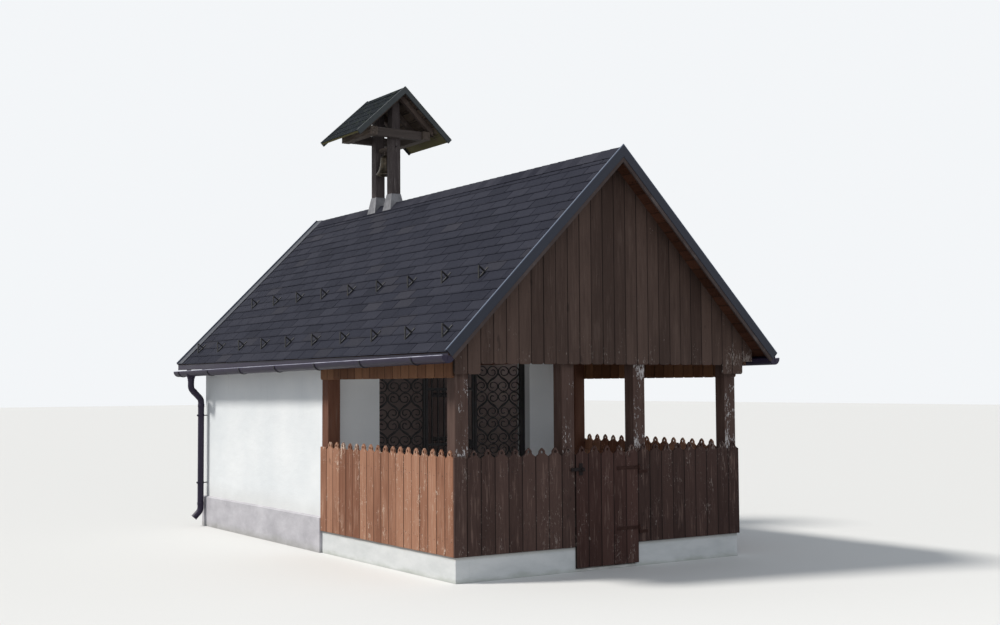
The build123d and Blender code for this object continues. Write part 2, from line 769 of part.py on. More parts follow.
leaf_back = grille_y + grille_depth
leaf_hinge_x = leaf_bay_left + leaf_play / 2
leaf_hinge_y = leaf_back + leaf_knuckle + 1
leaf_bottom = floor_top + leaf_foot
leaf_top = scroll_top - leaf_play
leaf_hinge_heights = (leaf_bottom + leaf_hinge_in, leaf_top - leaf_hinge_in)
pin_back = leaf_hinge_y + pin_bar / 2

with BuildPart() as grille_frame:
    block(opening_left - half_width, left_panel_x, grille_y, grille_y + grille_depth,
          floor_top, opening_top)
    block(left_panel_x + panel_width, leaf_bay_left, grille_y, grille_y + grille_depth,
          floor_top, opening_top)
    block(leaf_bay_right, right_panel_x, grille_y, grille_y + grille_depth,
          floor_top, opening_top)
    block(right_panel_x + panel_width, opening_right - half_width, grille_y,
          grille_y + grille_depth, floor_top, opening_top)
    for x in (left_panel_x, right_panel_x):
        block(x, x + panel_width, grille_y, grille_y + grille_depth,
              panel_bottom - grille_bar, panel_bottom)
        block(x, x + panel_width, grille_y, grille_y + grille_depth,
              opening_top - grille_bar, opening_top)
    block(leaf_bay_left, leaf_bay_right, grille_y, grille_y + grille_depth,
          opening_top - grille_bar, opening_top)
    for z in leaf_hinge_heights:
        foot = z - leaf_hinge_height / 2 - leaf_play - pin_arm
        block(leaf_bay_left - grille_bar / 2, leaf_hinge_x, leaf_back, pin_back,
              foot, foot + pin_arm)
        with BuildSketch(Plane.XY.offset(foot)):
            with Locations((leaf_hinge_x, leaf_hinge_y)):
                Circle(pin_radius)
        extrude(amount=pin_length)
grille_frame.part.label = "grille_frame"
export_step(grille_frame.part, "parts/grille_frame.step")


def scroll(cx, cz, hand, point_up):
    """Outline of half a heart: from its point round the lobe and into the curl.

    The lobe's middle is (cx, cz). hand is 1 where the heart's middle line lies to
    the right of the lobe, -1 to the left. point_up turns the heart over.
    """
    flip = 1 if point_up else -1
    across = scroll_pitch / 2 + scroll_lap - scroll_bar / 2
    upright = row_close / 2 + scroll_lap - scroll_bar / 2
    spine = [(scroll_pitch / 2, heart_point),
             (across * heart_flank, (heart_point + upright) / 2 - scroll_bar)]
    for degrees, share in scroll_turns:
        angle = math.radians(degrees)
        spine.append((across * share * math.cos(angle), upright * share * math.sin(angle)))
    left, right = [], []
    for i, (x, z) in enumerate(spine):
        before = spine[max(i - 1, 0)]
        after = spine[min(i + 1, len(spine) - 1)]
        dx, dz = after[0] - before[0], after[1] - before[1]
        size = math.hypot(dx, dz)
        ox, oz = -dz / size * scroll_bar / 2, dx / size * scroll_bar / 2
        left.append((cx + hand * (x + ox), cz + flip * (z + oz)))
        right.append((cx + hand * (x - ox), cz + flip * (z - oz)))
    return left + right[::-1]


def hearts(x0):
    """Faces of the rows of hearts of the panel that starts at x0."""
    halves = []
    for row, z in enumerate(rows):
        paired = row % 4 in (0, 3)
        for column in range(scroll_columns):
            hand = 1 if (column % 2 == 0) == paired else -1
            cx = x0 + (column + 0.5) * scroll_pitch
            halves.append(make_face(Polyline(*scroll(cx, z, hand, row % 2 == 1), close=True)))
    return halves


panels = [(x, hearts(x)) for x in (left_panel_x, right_panel_x)]
with BuildPart() as grille_scrolls:
    for x, halves in panels:
        with BuildSketch(front_plane(grille_y + (grille_depth - scroll_depth) / 2)):
            add(halves)
            with Locations((x + panel_width / 2, (panel_bottom + scroll_top) / 2)):
                Rectangle(panel_width, scroll_top - panel_bottom, mode=Mode.INTERSECT)
        extrude(amount=-scroll_depth)
grille_scrolls.part.label = "grille_scrolls"
export_step(grille_scrolls.part, "parts/grille_scrolls.step")

leaf_left = leaf_bay_left + leaf_play
leaf_right = leaf_bay_right - leaf_play
leaf_inner = leaf_right - leaf_left - 2 * leaf_stile
leaf_bars = round(leaf_inner / leaf_pitch)
first_bar = (leaf_left + leaf_right) / 2 - (leaf_bars - 1) * leaf_pitch / 2
with BuildPart() as grille_leaf:
    block(leaf_left, leaf_left + leaf_stile, grille_y, leaf_back, leaf_bottom, leaf_top)
    block(leaf_right - leaf_stile, leaf_right, grille_y, leaf_back, leaf_bottom, leaf_top)
    for z in (leaf_bottom, leaf_bottom + leaf_low_rail, leaf_bottom + leaf_mid_rail,
              leaf_top - leaf_high_rail, leaf_top - leaf_stile):
        block(leaf_left + leaf_stile, leaf_right - leaf_stile, grille_y, leaf_back,
              z, z + leaf_stile)
    for i in range(leaf_bars):
        x = first_bar + i * leaf_pitch
        block(x - leaf_bar / 2, x + leaf_bar / 2, grille_y + leaf_bar_inset,
              leaf_back - leaf_bar_inset, leaf_bottom + leaf_stile, leaf_top - leaf_stile)
    for z in leaf_hinge_heights:
        foot = z - leaf_hinge_height / 2
        block(leaf_hinge_x + leaf_knuckle - 2, leaf_left + leaf_stile, leaf_back, pin_back,
              foot, foot + leaf_hinge_height)
        with BuildSketch(Plane.XY.offset(foot)):
            with Locations((leaf_hinge_x, leaf_hinge_y)):
                Circle(leaf_knuckle)
                Circle(pin_radius + pin_play, mode=Mode.SUBTRACT)
        extrude(amount=leaf_hinge_height)
grille_leaf.part.label = "grille_leaf"
export_step(grille_leaf.part, "parts/grille_leaf.step")

# Gutters and pipes.
gutter_front = roof_front + gutter_end_gap
gutter_rear = roof_rear - gutter_end_gap
gutter_run = gutter_rear - gutter_front
gutter_height = under_deck - deck_reach * slope - gutter_drop
gutter_end = Plane(origin=(-gutter_line, gutter_front, gutter_height), x_dir=(1, 0, 0),
                   z_dir=(0, gutter_run, -gutter_fall))
gutter_length = math.hypot(gutter_run, gutter_fall)
outlet = room_rear - pipe_outlet_in
pipe_inner = pipe_radius - pipe_wall


def gutter_z(y):
    """Height of the gutter's rim, which falls to the rear."""
    return gutter_height - gutter_fall * (y - gutter_front) / gutter_run


def half_disc(radius):
    """The lower half of a disc, square to the gutter at its front end."""
    with BuildSketch(gutter_end) as disc:
        Circle(radius)
        with Locations((0, -radius)):
            Rectangle(4 * radius, 2 * radius, mode=Mode.SUBTRACT)
    return disc.sketch


with BuildPart() as gutter_left:
    extrude(half_disc(gutter_radius), amount=gutter_length)
    with BuildSketch(gutter_end.offset(gutter_sheet)):
        Circle(gutter_radius - gutter_sheet)
    extrude(amount=gutter_length - 2 * gutter_sheet, mode=Mode.SUBTRACT)
    with BuildSketch(Plane.XY.offset(gutter_z(outlet) - 2 * gutter_radius)):
        with Locations((-gutter_line, outlet)):
            RegularPolygon(radius=pipe_inner, side_count=pipe_flats)
    extrude(amount=2 * gutter_radius, mode=Mode.SUBTRACT)
    for i in range(1, gutter_lengths):
        with BuildSketch(gutter_end.offset(i * gutter_length / gutter_lengths)):
            Circle(2 * gutter_radius)
        extrude(amount=length_joint, mode=Mode.SUBTRACT)
gutter_left.part.label = "gutter_left"
export_step(gutter_left.part, "parts/gutter_left.step")

with BuildPart() as gutter_right:
    mirror(gutter_left.part, about=Plane.YZ)
gutter_right.part.label = "gutter_right"
export_step(gutter_right.part, "parts/gutter_right.step")

# Strap brackets pass under the gutter and up to the fascia, with longer legs where
# the gutter hangs lower.
strap_inner = (gutter_radius + bracket_play) / math.cos(math.pi / bracket_bends / 2)
strap_back = -fascia_x - fascia_board
fascia_foot = under_deck - fascia_x * slope - fascia_drop
brackets = int((gutter_run - bracket_first) / bracket_pitch) + 1


def half_round(radius, z):
    """Points of a half round under the gutter, from its outer side to its inner side."""
    return [(-gutter_line - radius * math.cos(math.pi * i / bracket_bends),
             z - radius * math.sin(math.pi * i / bracket_bends))
            for i in range(bracket_bends + 1)]


with BuildPart() as gutter_brackets:
    for i in range(brackets):
        y = gutter_front + bracket_first + i * bracket_pitch
        z = gutter_z(y + bracket_width)
        slab(half_round(strap_inner + bracket_sheet, z) + half_round(strap_inner, z)[::-1],
             y, y + bracket_width)
        block(strap_inner - gutter_line, strap_back, y, y + bracket_width, z - bracket_head, z)
        block(strap_back - bracket_sheet, strap_back, y, y + bracket_width,
              z - bracket_head, fascia_foot + bracket_leg)
    mirror(about=Plane.YZ)
gutter_brackets.part.label = "gutter_brackets"
export_step(gutter_brackets.part, "parts/gutter_brackets.step")

# The pipe swings from the gutter's outlet to the wall, runs down and kicks out
# over a shoe.
pipe_x = -frame_x - plinth_proud - pipe_wall_gap - pipe_radius
pipe_y = room_rear - pipe_in
outlet_z = gutter_z(outlet) - gutter_radius


def eased(points, cut):
    """The points of a line whose corners are each cut off by a length."""
    line = [points[0]]
    for i in range(1, len(points) - 1):
        here = Vector(*points[i])
        for other in (points[i - 1], points[i + 1]):
            line.append(here + (Vector(*other) - here).normalized() * cut)
    return line + [points[-1]]


with BuildPart() as downpipes:
    with BuildLine():
        route = Polyline(*eased([
            (-gutter_line, outlet, outlet_z + pipe_radius),
            (-gutter_line, outlet, outlet_z - pipe_neck),
            (pipe_x, pipe_y, outlet_z - pipe_swing), (pipe_x, pipe_y, pipe_foot),
            (pipe_x - shoe_throw, pipe_y + shoe_turn, shoe_height)], pipe_bend))
    with BuildSketch(Plane(origin=(-gutter_line, outlet, outlet_z + pipe_radius),
                           z_dir=(0, 0, -1))):
        RegularPolygon(radius=pipe_radius, side_count=pipe_flats)
        RegularPolygon(radius=pipe_inner, side_count=pipe_flats, mode=Mode.SUBTRACT)
    sweep(path=route, transition=Transition.RIGHT)
    extrude(half_disc(gutter_radius + pipe_seat), amount=gutter_length, mode=Mode.SUBTRACT)
    for rise in clamp_rises:
        block(pipe_x + pipe_inner, -frame_x, pipe_y - clamp_width / 2, pipe_y + clamp_width / 2,
              plinth_height + rise, plinth_height + rise + clamp_height)
    mirror(about=Plane.YZ)
downpipes.part.label = "downpipes"
export_step(downpipes.part, "parts/downpipes.step")


def guard_places(first, row):
    """Feet of a row of snow guards, from its first depth and its place up the slope."""
    count = int((roof_rear - verge_rear_flange - guard_end_gap - first) / guard_pitch) + 1
    return [(first + i * guard_pitch, eave_reach - row * lean) for i in range(count)]


# Snow guards: a flat strap up the slope, a stand at its lower end and a brace.
with BuildPart() as snow_guard:
    along = guard_strap * lean
    strap_top = guard_bar / lean
    brace_foot = guard_brace_up * lean
    brace_end = brace_foot + guard_bar
    with BuildSketch(front_plane(-guard_width / 2)):
        with BuildLine():
            Polyline((0, 0), (along, along * slope), (along, along * slope + strap_top),
                     (brace_end, brace_end * slope + strap_top),
                     (guard_bar, guard_stand), (0, guard_stand), close=True)
        make_face()
        with BuildLine():
            Polyline((guard_bar, guard_bar * slope + strap_top),
                     (brace_foot, brace_foot * slope + strap_top),
                     (guard_bar, guard_stand - guard_bar / lean), close=True)
        make_face(mode=Mode.SUBTRACT)
    extrude(amount=-guard_width)

with BuildPart() as snow_guards:
    places = guard_places(fence_y, guard_lower_row)
    places += guard_places(fence_y + guard_upper_step, guard_upper_row)
    for y, out in places:
        with Locations((-out, y, ridge_height - out * slope)):
            add(snow_guard.part)
    mirror(about=Plane.YZ)
snow_guards.part.label = "snow_guards"
export_step(snow_guards.part, "parts/snow_guards.step")

# Bell turret.
turret_slope = math.tan(math.radians(turret_pitch))
turret_lean = math.cos(math.radians(turret_pitch))
tie_top = ridge_height + turret_rise
tie_foot = tie_top - turret_tie_depth
purlin_out = turret_tie / 2 + turret_purlin
turret_rafter_under = tie_top + (purlin_out - turret_seat) * turret_slope
turret_under = turret_rafter_under + turret_rafter_depth / turret_lean
turret_apex = turret_under + turret_board / turret_lean
turret_front = turret_mid - turret_length / 2
turret_back = turret_mid + turret_length / 2
boards_front = turret_front + turret_verge_board
boards_back = turret_back - turret_verge_board
purlin_front = turret_post_ys[0] - turret_post / 2 - turret_tie_width - turret_purlin_end
purlin_back = turret_post_ys[1] + turret_post / 2 + turret_tie_width + turret_purlin_end
axle_z = tie_top - axle_drop
bell_rim_z = axle_z - bell_drop

# Its posts stand on the ridge beam and run up to its own roof boards.
with BuildPart() as turret_posts:
    top_half = turret_post / 2 - turret_narrowing
    for y in turret_post_ys:
        slab([(-turret_post / 2, under_deck - turret_post / 2 * slope), (0, under_deck),
              (turret_post / 2, under_deck - turret_post / 2 * slope),
              (turret_post / 2, tie_foot), (top_half, turret_under - top_half * turret_slope),
              (0, turret_under), (-top_half, turret_under - top_half * turret_slope),
              (-turret_post / 2, tie_foot)],
             y - turret_post / 2, y + turret_post / 2)
    with BuildSketch(front_plane(turret_mid - turret_spread)):
        with Locations((0, axle_z)):
            Circle(axle_radius + pin_play)
    extrude(amount=-2 * turret_spread, mode=Mode.SUBTRACT)
turret_posts.part.label = "turret_posts"
export_step(turret_posts.part, "parts/turret_posts.step")

# The flashing at each foot is a skirt that narrows upward and ends on the shingles.
flashing_top = ridge_height + cap_rise + flashing_height
skirt = turret_post / 2 + flashing_spread
skirt_foot = flashing_top - flashing_height - turret_post
collar = turret_post / 2 + flashing_sheet
with BuildPart() as turret_flashing:
    for y in turret_post_ys:
        slab([(-skirt, skirt_foot), (skirt, skirt_foot), (collar, flashing_top),
              (-collar, flashing_top)], y - skirt, y + skirt)
    with BuildSketch(side_plane(-2 * skirt)):
        for y in turret_post_ys:
            with BuildLine():
                Polyline((-y - skirt, skirt_foot), (-y + skirt, skirt_foot),
                         (-y + collar, flashing_top), (-y - collar, flashing_top), close=True)
            make_face()
    extrude(amount=-4 * skirt, mode=Mode.INTERSECT)
    for y in turret_post_ys:
        with Locations((0, y, flashing_top)):
            Box(turret_post, turret_post, 6 * turret_post, mode=Mode.SUBTRACT)
    cap_line = ridge_height + cap_rise
    with BuildSketch(front_plane(turret_mid - turret_spread)):
        with BuildLine():
            Polyline((0, cap_line), (2 * skirt, cap_line - 2 * skirt * slope),
                     (-2 * skirt, cap_line - 2 * skirt * slope), close=True)
        make_face()
    extrude(amount=-2 * turret_spread, mode=Mode.SUBTRACT)
turret_flashing.part.label = "turret_flashing"
export_step(turret_flashing.part, "parts/turret_flashing.step")

# A tie lies across the outer face of each post, and the purlins join the ties' ends.
with BuildPart() as turret_ties:
    tie_y = turret_post_ys[0] - turret_post / 2
    block(-turret_tie / 2, turret_tie / 2, tie_y - turret_tie_width, tie_y, tie_foot, tie_top)
    tie_y = turret_post_ys[1] + turret_post / 2
    block(-turret_tie / 2, turret_tie / 2, tie_y, tie_y + turret_tie_width, tie_foot, tie_top)
turret_ties.part.label = "turret_ties"
export_step(turret_ties.part, "parts/turret_ties.step")

with BuildPart() as turret_purlins:
    for x in (-purlin_out, turret_tie / 2):
        block(x, x + turret_purlin, purlin_front, purlin_back, tie_top - turret_purlin, tie_top)
turret_purlins.part.label = "turret_purlins"
export_step(turret_purlins.part, "parts/turret_purlins.step")

with BuildPart() as turret_rafters:
    first = purlin_front + turret_rafter_width / 2
    last = purlin_back - turret_rafter_width / 2
    reach = turret_half - turret_tail
    for i in range(3):
        y = first + i * (last - first) / 2
        slab([(0, turret_under), (reach, turret_under - reach * turret_slope),
              (reach, turret_rafter_under - reach * turret_slope),
              (purlin_out, turret_rafter_under - purlin_out * turret_slope),
              (purlin_out, tie_top), (purlin_out - turret_seat, tie_top),
              (0, turret_rafter_under),
              (turret_seat - purlin_out, tie_top), (-purlin_out, tie_top),
              (-purlin_out, turret_rafter_under - purlin_out * turret_slope),
              (-reach, turret_rafter_under - reach * turret_slope),
              (-reach, turret_under - reach * turret_slope)],
             y - turret_rafter_width / 2, y + turret_rafter_width / 2)
turret_rafters.part.label = "turret_rafters"
export_step(turret_rafters.part, "parts/turret_rafters.step")

with BuildPart() as turret_roof_left:
    slab([(0, turret_under), (0, turret_apex),
          (-turret_half, turret_apex - turret_half * turret_slope),
          (-turret_half, turret_under - turret_half * turret_slope)],
         boards_front, boards_back)
turret_roof_left.part.label = "turret_roof_left"
export_step(turret_roof_left.part, "parts/turret_roof_left.step")

with BuildPart() as turret_roof_right:
    mirror(turret_roof_left.part, about=Plane.YZ)
turret_roof_right.part.label = "turret_roof_right"
export_step(turret_roof_right.part, "parts/turret_roof_right.step")

verge_top = turret_apex + turret_verge_lip
verge_low = verge_top - turret_verge / turret_lean
verge_fall = turret_half * turret_slope
with BuildPart() as turret_verges:
    for y in (turret_front, boards_back):
        slab([(0, verge_top), (turret_half, verge_top - verge_fall),
              (turret_half, verge_low - verge_fall), (0, verge_low),
              (-turret_half, verge_low - verge_fall), (-turret_half, verge_top - verge_fall)],
             y, y + turret_verge_board)
turret_verges.part.label = "turret_verges"
export_step(turret_verges.part, "parts/turret_verges.step")

# Bell.
bell_outer = [(bell_mouth * r, bell_height * z) for r, z in bell_outline]
bell_inner = [(bell_mouth * r - bell_skin, (bell_height - bell_skin) * z)
              for r, z in reversed(bell_outline)]
with BuildPart() as bell:
    with BuildSketch(front_plane(turret_mid)):
        with BuildLine():
            Polyline(*bell_outer, (0, bell_height), (0, bell_height - bell_skin), *bell_inner,
                     close=True)
        make_face()
    revolve(axis=Axis((0, turret_mid, 0), (0, 0, 1)))
bell.part.position = (0, 0, bell_rim_z)
bell.part.label = "bell"
export_step(bell.part, "parts/bell.step")

yoke_half = turret_spread / 2 - turret_post / 2 - yoke_play
axle_half = turret_spread / 2 + axle_end
with BuildPart() as bell_yoke:
    block(-yoke / 2, yoke / 2, turret_mid - yoke_half, turret_mid + yoke_half,
          axle_z - yoke / 2, axle_z + yoke / 2)
    with BuildSketch(front_plane(turret_mid - axle_half)):
        with Locations((0, axle_z)):
            Circle(axle_radius)
    extrude(amount=-2 * axle_half)
    block(-bell_stem / 2, bell_stem / 2, turret_mid - bell_stem / 2, turret_mid + bell_stem / 2,
          bell_rim_z + bell_height, axle_z - yoke / 2)
bell_yoke.part.label = "bell_yoke"
export_step(bell_yoke.part, "parts/bell_yoke.step")

with BuildPart() as clapper:
    ball = clapper_ball
    with BuildSketch(front_plane(turret_mid)):
        with BuildLine():
            Polyline((0, 0), (ball * 0.7, ball * 0.3), (ball, ball), (ball * 0.7, ball * 1.7),
                     (clapper_rod, ball * 2), (clapper_rod, bell_height - bell_skin),
                     (0, bell_height - bell_skin), close=True)
        make_face()
    revolve(axis=Axis((0, turret_mid, 0), (0, 0, 1)))
clapper.part.position = (0, 0, bell_rim_z)
clapper.part.label = "clapper"
export_step(clapper.part, "parts/clapper.step")
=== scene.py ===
import math
import random

import bpy
from mathutils import Matrix, Vector


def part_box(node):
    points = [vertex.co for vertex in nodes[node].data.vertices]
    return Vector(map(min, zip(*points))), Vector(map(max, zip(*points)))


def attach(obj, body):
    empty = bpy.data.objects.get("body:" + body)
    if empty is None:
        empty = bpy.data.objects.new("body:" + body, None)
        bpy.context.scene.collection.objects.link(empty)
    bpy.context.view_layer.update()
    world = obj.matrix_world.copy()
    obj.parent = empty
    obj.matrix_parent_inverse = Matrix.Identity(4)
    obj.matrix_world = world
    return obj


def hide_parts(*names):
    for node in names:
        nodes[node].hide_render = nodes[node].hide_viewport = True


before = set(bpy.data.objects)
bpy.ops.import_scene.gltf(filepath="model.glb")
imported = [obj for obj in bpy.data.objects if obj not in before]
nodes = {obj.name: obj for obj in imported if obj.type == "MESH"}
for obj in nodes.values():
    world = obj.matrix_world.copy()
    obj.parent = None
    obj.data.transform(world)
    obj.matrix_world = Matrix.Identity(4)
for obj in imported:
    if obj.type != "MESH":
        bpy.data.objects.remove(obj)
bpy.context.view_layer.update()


# The masonry room is brick under lime render, painted white. Its finish is thrown
# and floated by hand, so it is slightly uneven, and it is a little dirty at the foot.
def arithmetic(operation):
    """An operator and its reflected form."""
    return (lambda self, other: self.worked(operation, self, other),
            lambda self, other: self.worked(operation, other, self))


class Reading:
    """A socket in a graph of nodes, on which plain arithmetic works."""

    def __init__(self, graph, socket):
        self.graph = graph
        self.socket = socket

    def worked(self, operation, first, second=0.0):
        return self.graph.node("ShaderNodeMath", {"operation": operation}, {0: first, 1: second})

    __add__, __radd__ = arithmetic("ADD")
    __sub__, __rsub__ = arithmetic("SUBTRACT")
    __mul__, __rmul__ = arithmetic("MULTIPLY")
    __truediv__, __rtruediv__ = arithmetic("DIVIDE")

    def __gt__(self, other):
        return self.worked("GREATER_THAN", self, other)

    def __lt__(self, other):
        return self.worked("LESS_THAN", self, other)

    def __abs__(self):
        return self.worked("ABSOLUTE", self)

    def floor(self):
        return self.worked("FLOOR", self)

    def fraction(self):
        return self.worked("FRACT", self)


class Graph:
    """The nodes of a finish or of the sky."""

    def __init__(self, owner):
        owner.use_nodes = True
        self.tree = owner.node_tree

    def node(self, kind, settings, inputs, output=0):
        """Adds a node: its settings first, then the values or readings of its sockets."""
        made = self.tree.nodes.new(kind)
        for name, value in settings.items():
            if name == "stops":
                ramp = made.color_ramp.elements
                while len(ramp) < len(value):
                    ramp.new(0.5)
                for stop, (position, color) in zip(ramp, value):
                    stop.position = position
                    stop.color = (*color, 1)
            else:
                setattr(made, name, value)
        for name, value in inputs.items():
            if isinstance(value, Reading):
                self.tree.links.new(value.socket, made.inputs[name])
            elif isinstance(value, tuple) and made.inputs[name].type == "RGBA":
                made.inputs[name].default_value = (*value, 1)
            else:
                made.inputs[name].default_value = value
        return Reading(self, made.outputs[output])


class Finish(Graph):
    """One finish: a principled shader and the nodes that vary it over a surface."""

    def __init__(self, name, roughness=0.7, metallic=0.0, **even):
        self.material = bpy.data.materials.new(name)
        super().__init__(self.material)
        self.shader = self.tree.nodes["Principled BSDF"]
        for socket, value in {"Roughness": roughness, "Metallic": metallic, **even}.items():
            self.shader.inputs[socket.replace("_", " ")].default_value = value
        self.place = self.node("ShaderNodeTexCoord", {}, {}, "Object")
        apart = self.node("ShaderNodeSeparateXYZ", {}, {0: self.place})
        self.x, self.y, self.z = (Reading(self, socket) for socket in apart.socket.node.outputs)

    def noise(self, size, stretch=(1, 1, 1), detail=4.0, rough=0.55, offset=0.0):
        """A noise whose features are about a size across, in metres, and longer along an axis."""
        moved_place = self.node("ShaderNodeMapping", {}, {
            "Vector": self.place, "Location": (offset, offset, offset),
            "Scale": tuple(1 / part for part in stretch)})
        return self.node("ShaderNodeTexNoise", {}, {
            "Vector": moved_place, "Scale": 1 / size, "Detail": detail, "Roughness": rough}, "Fac")

    def number(self, first, second=0.0):
        """A random number for each pair of whole numbers."""
        pair = self.node("ShaderNodeCombineXYZ", {}, {0: first, 1: second})
        return self.node("ShaderNodeTexWhiteNoise", {"noise_dimensions": "2D"}, {"Vector": pair}, "Value")

    def between(self, reading, low, high, start=0.0, end=1.0):
        """Maps a reading smoothly from one span to another."""
        return self.node("ShaderNodeMapRange", {"interpolation_type": "SMOOTHSTEP"}, {
            "Value": reading, "From Min": low, "From Max": high, "To Min": start, "To Max": end})

    def mixed(self, share, first, second):
        """One colour blended into another by a share."""
        return self.node("ShaderNodeMix", {"data_type": "RGBA"}, {0: share, 6: first, 7: second}, 2)

    def blotched(self, color, reading, low, high, share, tint):
        """A share of a tint over a colour where a reading is high."""
        return self.mixed(self.between(reading, low, high) * share, color, tint)

    def ramp(self, reading, *stops):
        return self.node("ShaderNodeValToRGB", {"stops": stops}, {"Fac": reading})

    def shown(self, color, roughness=None, height=None, depth=0.001):
        """Joins the colour, roughness and relief to the shader and gives the material."""
        if height is not None:
            height = self.node("ShaderNodeBump", {}, {"Height": height, "Distance": depth})
        for socket, reading in (("Base Color", color), ("Roughness", roughness), ("Normal", height)):
            if reading is not None:
                self.tree.links.new(reading.socket, self.shader.inputs[socket])
        return self.material


def coat(material, *names, arris=0.0):
    """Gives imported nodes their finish, and takes the sharpness off their edges."""
    for name in names:
        node = nodes[name]
        node.data.materials.clear()
        node.data.materials.append(material)
        if arris > 0:
            weld = node.modifiers.new("weld", "WELD")
            weld.merge_threshold = 0.0001
            bevel = node.modifiers.new("arris", "BEVEL")
            bevel.width = arris
            bevel.segments = 2
            bevel.limit_method = "ANGLE"
            bevel.angle_limit = math.radians(35)


lime = Finish("white_lime_render", roughness=0.9)
drift = lime.noise(0.8, detail=3.0)
pits = lime.noise(0.012, detail=5.0, rough=0.7)
trowel = lime.noise(0.16, (1, 1, 0.6), 3.0)
runs = lime.noise(0.06, (1, 1, 9), offset=7.0)
white = lime.ramp(drift, (0.3, (0.70, 0.73, 0.75)), (0.7, (0.79, 0.81, 0.82)))
foot_dirt = lime.between(lime.z + drift * 0.25, 0.42, 0.72, 0.5, 0.0)
white = lime.mixed(foot_dirt, white, (0.56, 0.55, 0.53))
near_eave = lime.between(lime.z, 1.2, 1.9, 0.0, 0.22)
white = lime.blotched(white, runs, 0.60, 0.75, near_eave, (0.50, 0.52, 0.52))
white = lime.blotched(white, pits, 0.62, 0.8, 0.2, (0.56, 0.57, 0.58))
# Inside the room the render is painted darker and browner, with darker blotches: painted shade of the closed
# room.
inside = (abs(lime.x) < 1.402) * (lime.y > -0.079) * (lime.y < 2.80)
white = lime.mixed(inside, white, (0.33, 0.265, 0.255))
room_shade_drift = lime.noise(0.5, offset=11.0)
white = lime.blotched(white, room_shade_drift, 0.4, 0.7, inside * 0.4, (0.20, 0.155, 0.150))
coat(lime.shown(white, height=pits * 0.5 + trowel, depth=0.004),
     "wall_left", "wall_right", "rear_wall", "front_piers", "front_gable")


# A band of hard grey cement render guards the foot of the walls. It is mottled by
# damp and has pale blooms of salt.
cement = Finish("grey_cement_render", roughness=0.93)
damp = cement.noise(0.35, (1, 1, 0.5), 5.0)
bloom = cement.noise(0.09, offset=3.0)
grit = cement.noise(0.006, rough=0.8)
grey = cement.ramp(damp, (0.3, (0.40, 0.39, 0.42)), (0.5, (0.47, 0.46, 0.49)), (0.68, (0.54, 0.53, 0.56)))
grey = cement.blotched(grey, bloom, 0.55, 0.75, 0.3, (0.62, 0.60, 0.63))
wet_foot = cement.between(cement.z + damp * 0.12, 0.05, 0.16, 0.5, 0.0)
grey = cement.mixed(wet_foot, grey, (0.27, 0.27, 0.23))
coat(cement.shown(grey, height=grit + bloom * 2, depth=0.003), "plinth_sides", "plinth_rear", arris=0.004)


# Kerbs under the fences are cast concrete with an old coat of pale limewash, green
# near the ground. The floors and the threshold are bare.
def two_tone(name, size, dark, light, detail=4.0, stretch=(1, 1, 1), blot=None, rough=None, depth=None,
             over=None, **even):
    """A finish between two tones, blotted with a third, with uneven roughness and relief."""
    finish = Finish(name, **even)
    tone = finish.noise(size, stretch, detail)
    color = finish.ramp(tone, dark, light)
    if blot:
        blot_size, blot_stretch, blot_detail, offset, *spread = blot
        color = finish.blotched(
            color, finish.noise(blot_size, blot_stretch, blot_detail, offset=offset), *spread)
    if over:
        color = over(finish, color)
    return finish.shown(color, tone * rough[0] + rough[1] if rough else None,
                        tone if depth else None, depth)


cast = Finish("limewashed_concrete", roughness=0.9)
wash = cast.noise(0.3, (1, 1, 0.4), 5.0)
holes = cast.noise(0.009, detail=3.0, rough=0.8)
pale = cast.ramp(wash, (0.32, (0.59, 0.61, 0.61)), (0.6, (0.68, 0.695, 0.695)))
splash = cast.between(cast.z + wash * 0.10, 0.04, 0.10, 0.45, 0.0)
pale = cast.mixed(splash, pale, (0.33, 0.36, 0.28))
# A darker strip along the top of the kerbs, where the fence boards hang over them, is their painted shadow.
kerb_top_board_shadow = cast.between(cast.z + holes * 0.02, 0.195, 0.222, 0.0, 0.5)
pale = cast.mixed(kerb_top_board_shadow, pale, (0.36, 0.35, 0.31))
pale = cast.blotched(pale, holes, 0.62, 0.75, 0.4, (0.40, 0.41, 0.39))
coat(cast.shown(pale, height=holes + wash, depth=0.002), "kerb_sides", "kerb_front", arris=0.002)

bare = Finish("bare_concrete", roughness=0.95)
dull = bare.ramp(bare.noise(0.4, detail=6.0), (0.35, (0.30, 0.29, 0.27)), (0.65, (0.44, 0.43, 0.41)))
coat(bare.shown(dull, height=bare.noise(0.004, detail=3.0, rough=0.8)), "room_floor", "porch_floor",
     arris=0.002)
coat(two_tone("worn_threshold", 0.12, (0.35, (0.50, 0.50, 0.47)), (0.65, (0.66, 0.66, 0.63)), 5.0,
              depth=0.002, roughness=0.85), "threshold", arris=0.005)


# The porch stands on squared softwood posts. Their brown coat has weathered to
# grey-brown and peels in white flecks, most on the two posts right of the gate.
ALONG_X = (12, 1, 1)
ALONG_Y = (1, 12, 1)
ALONG_Z = (1, 1, 12)
UP_THE_ROOF = (6, 1, 6)


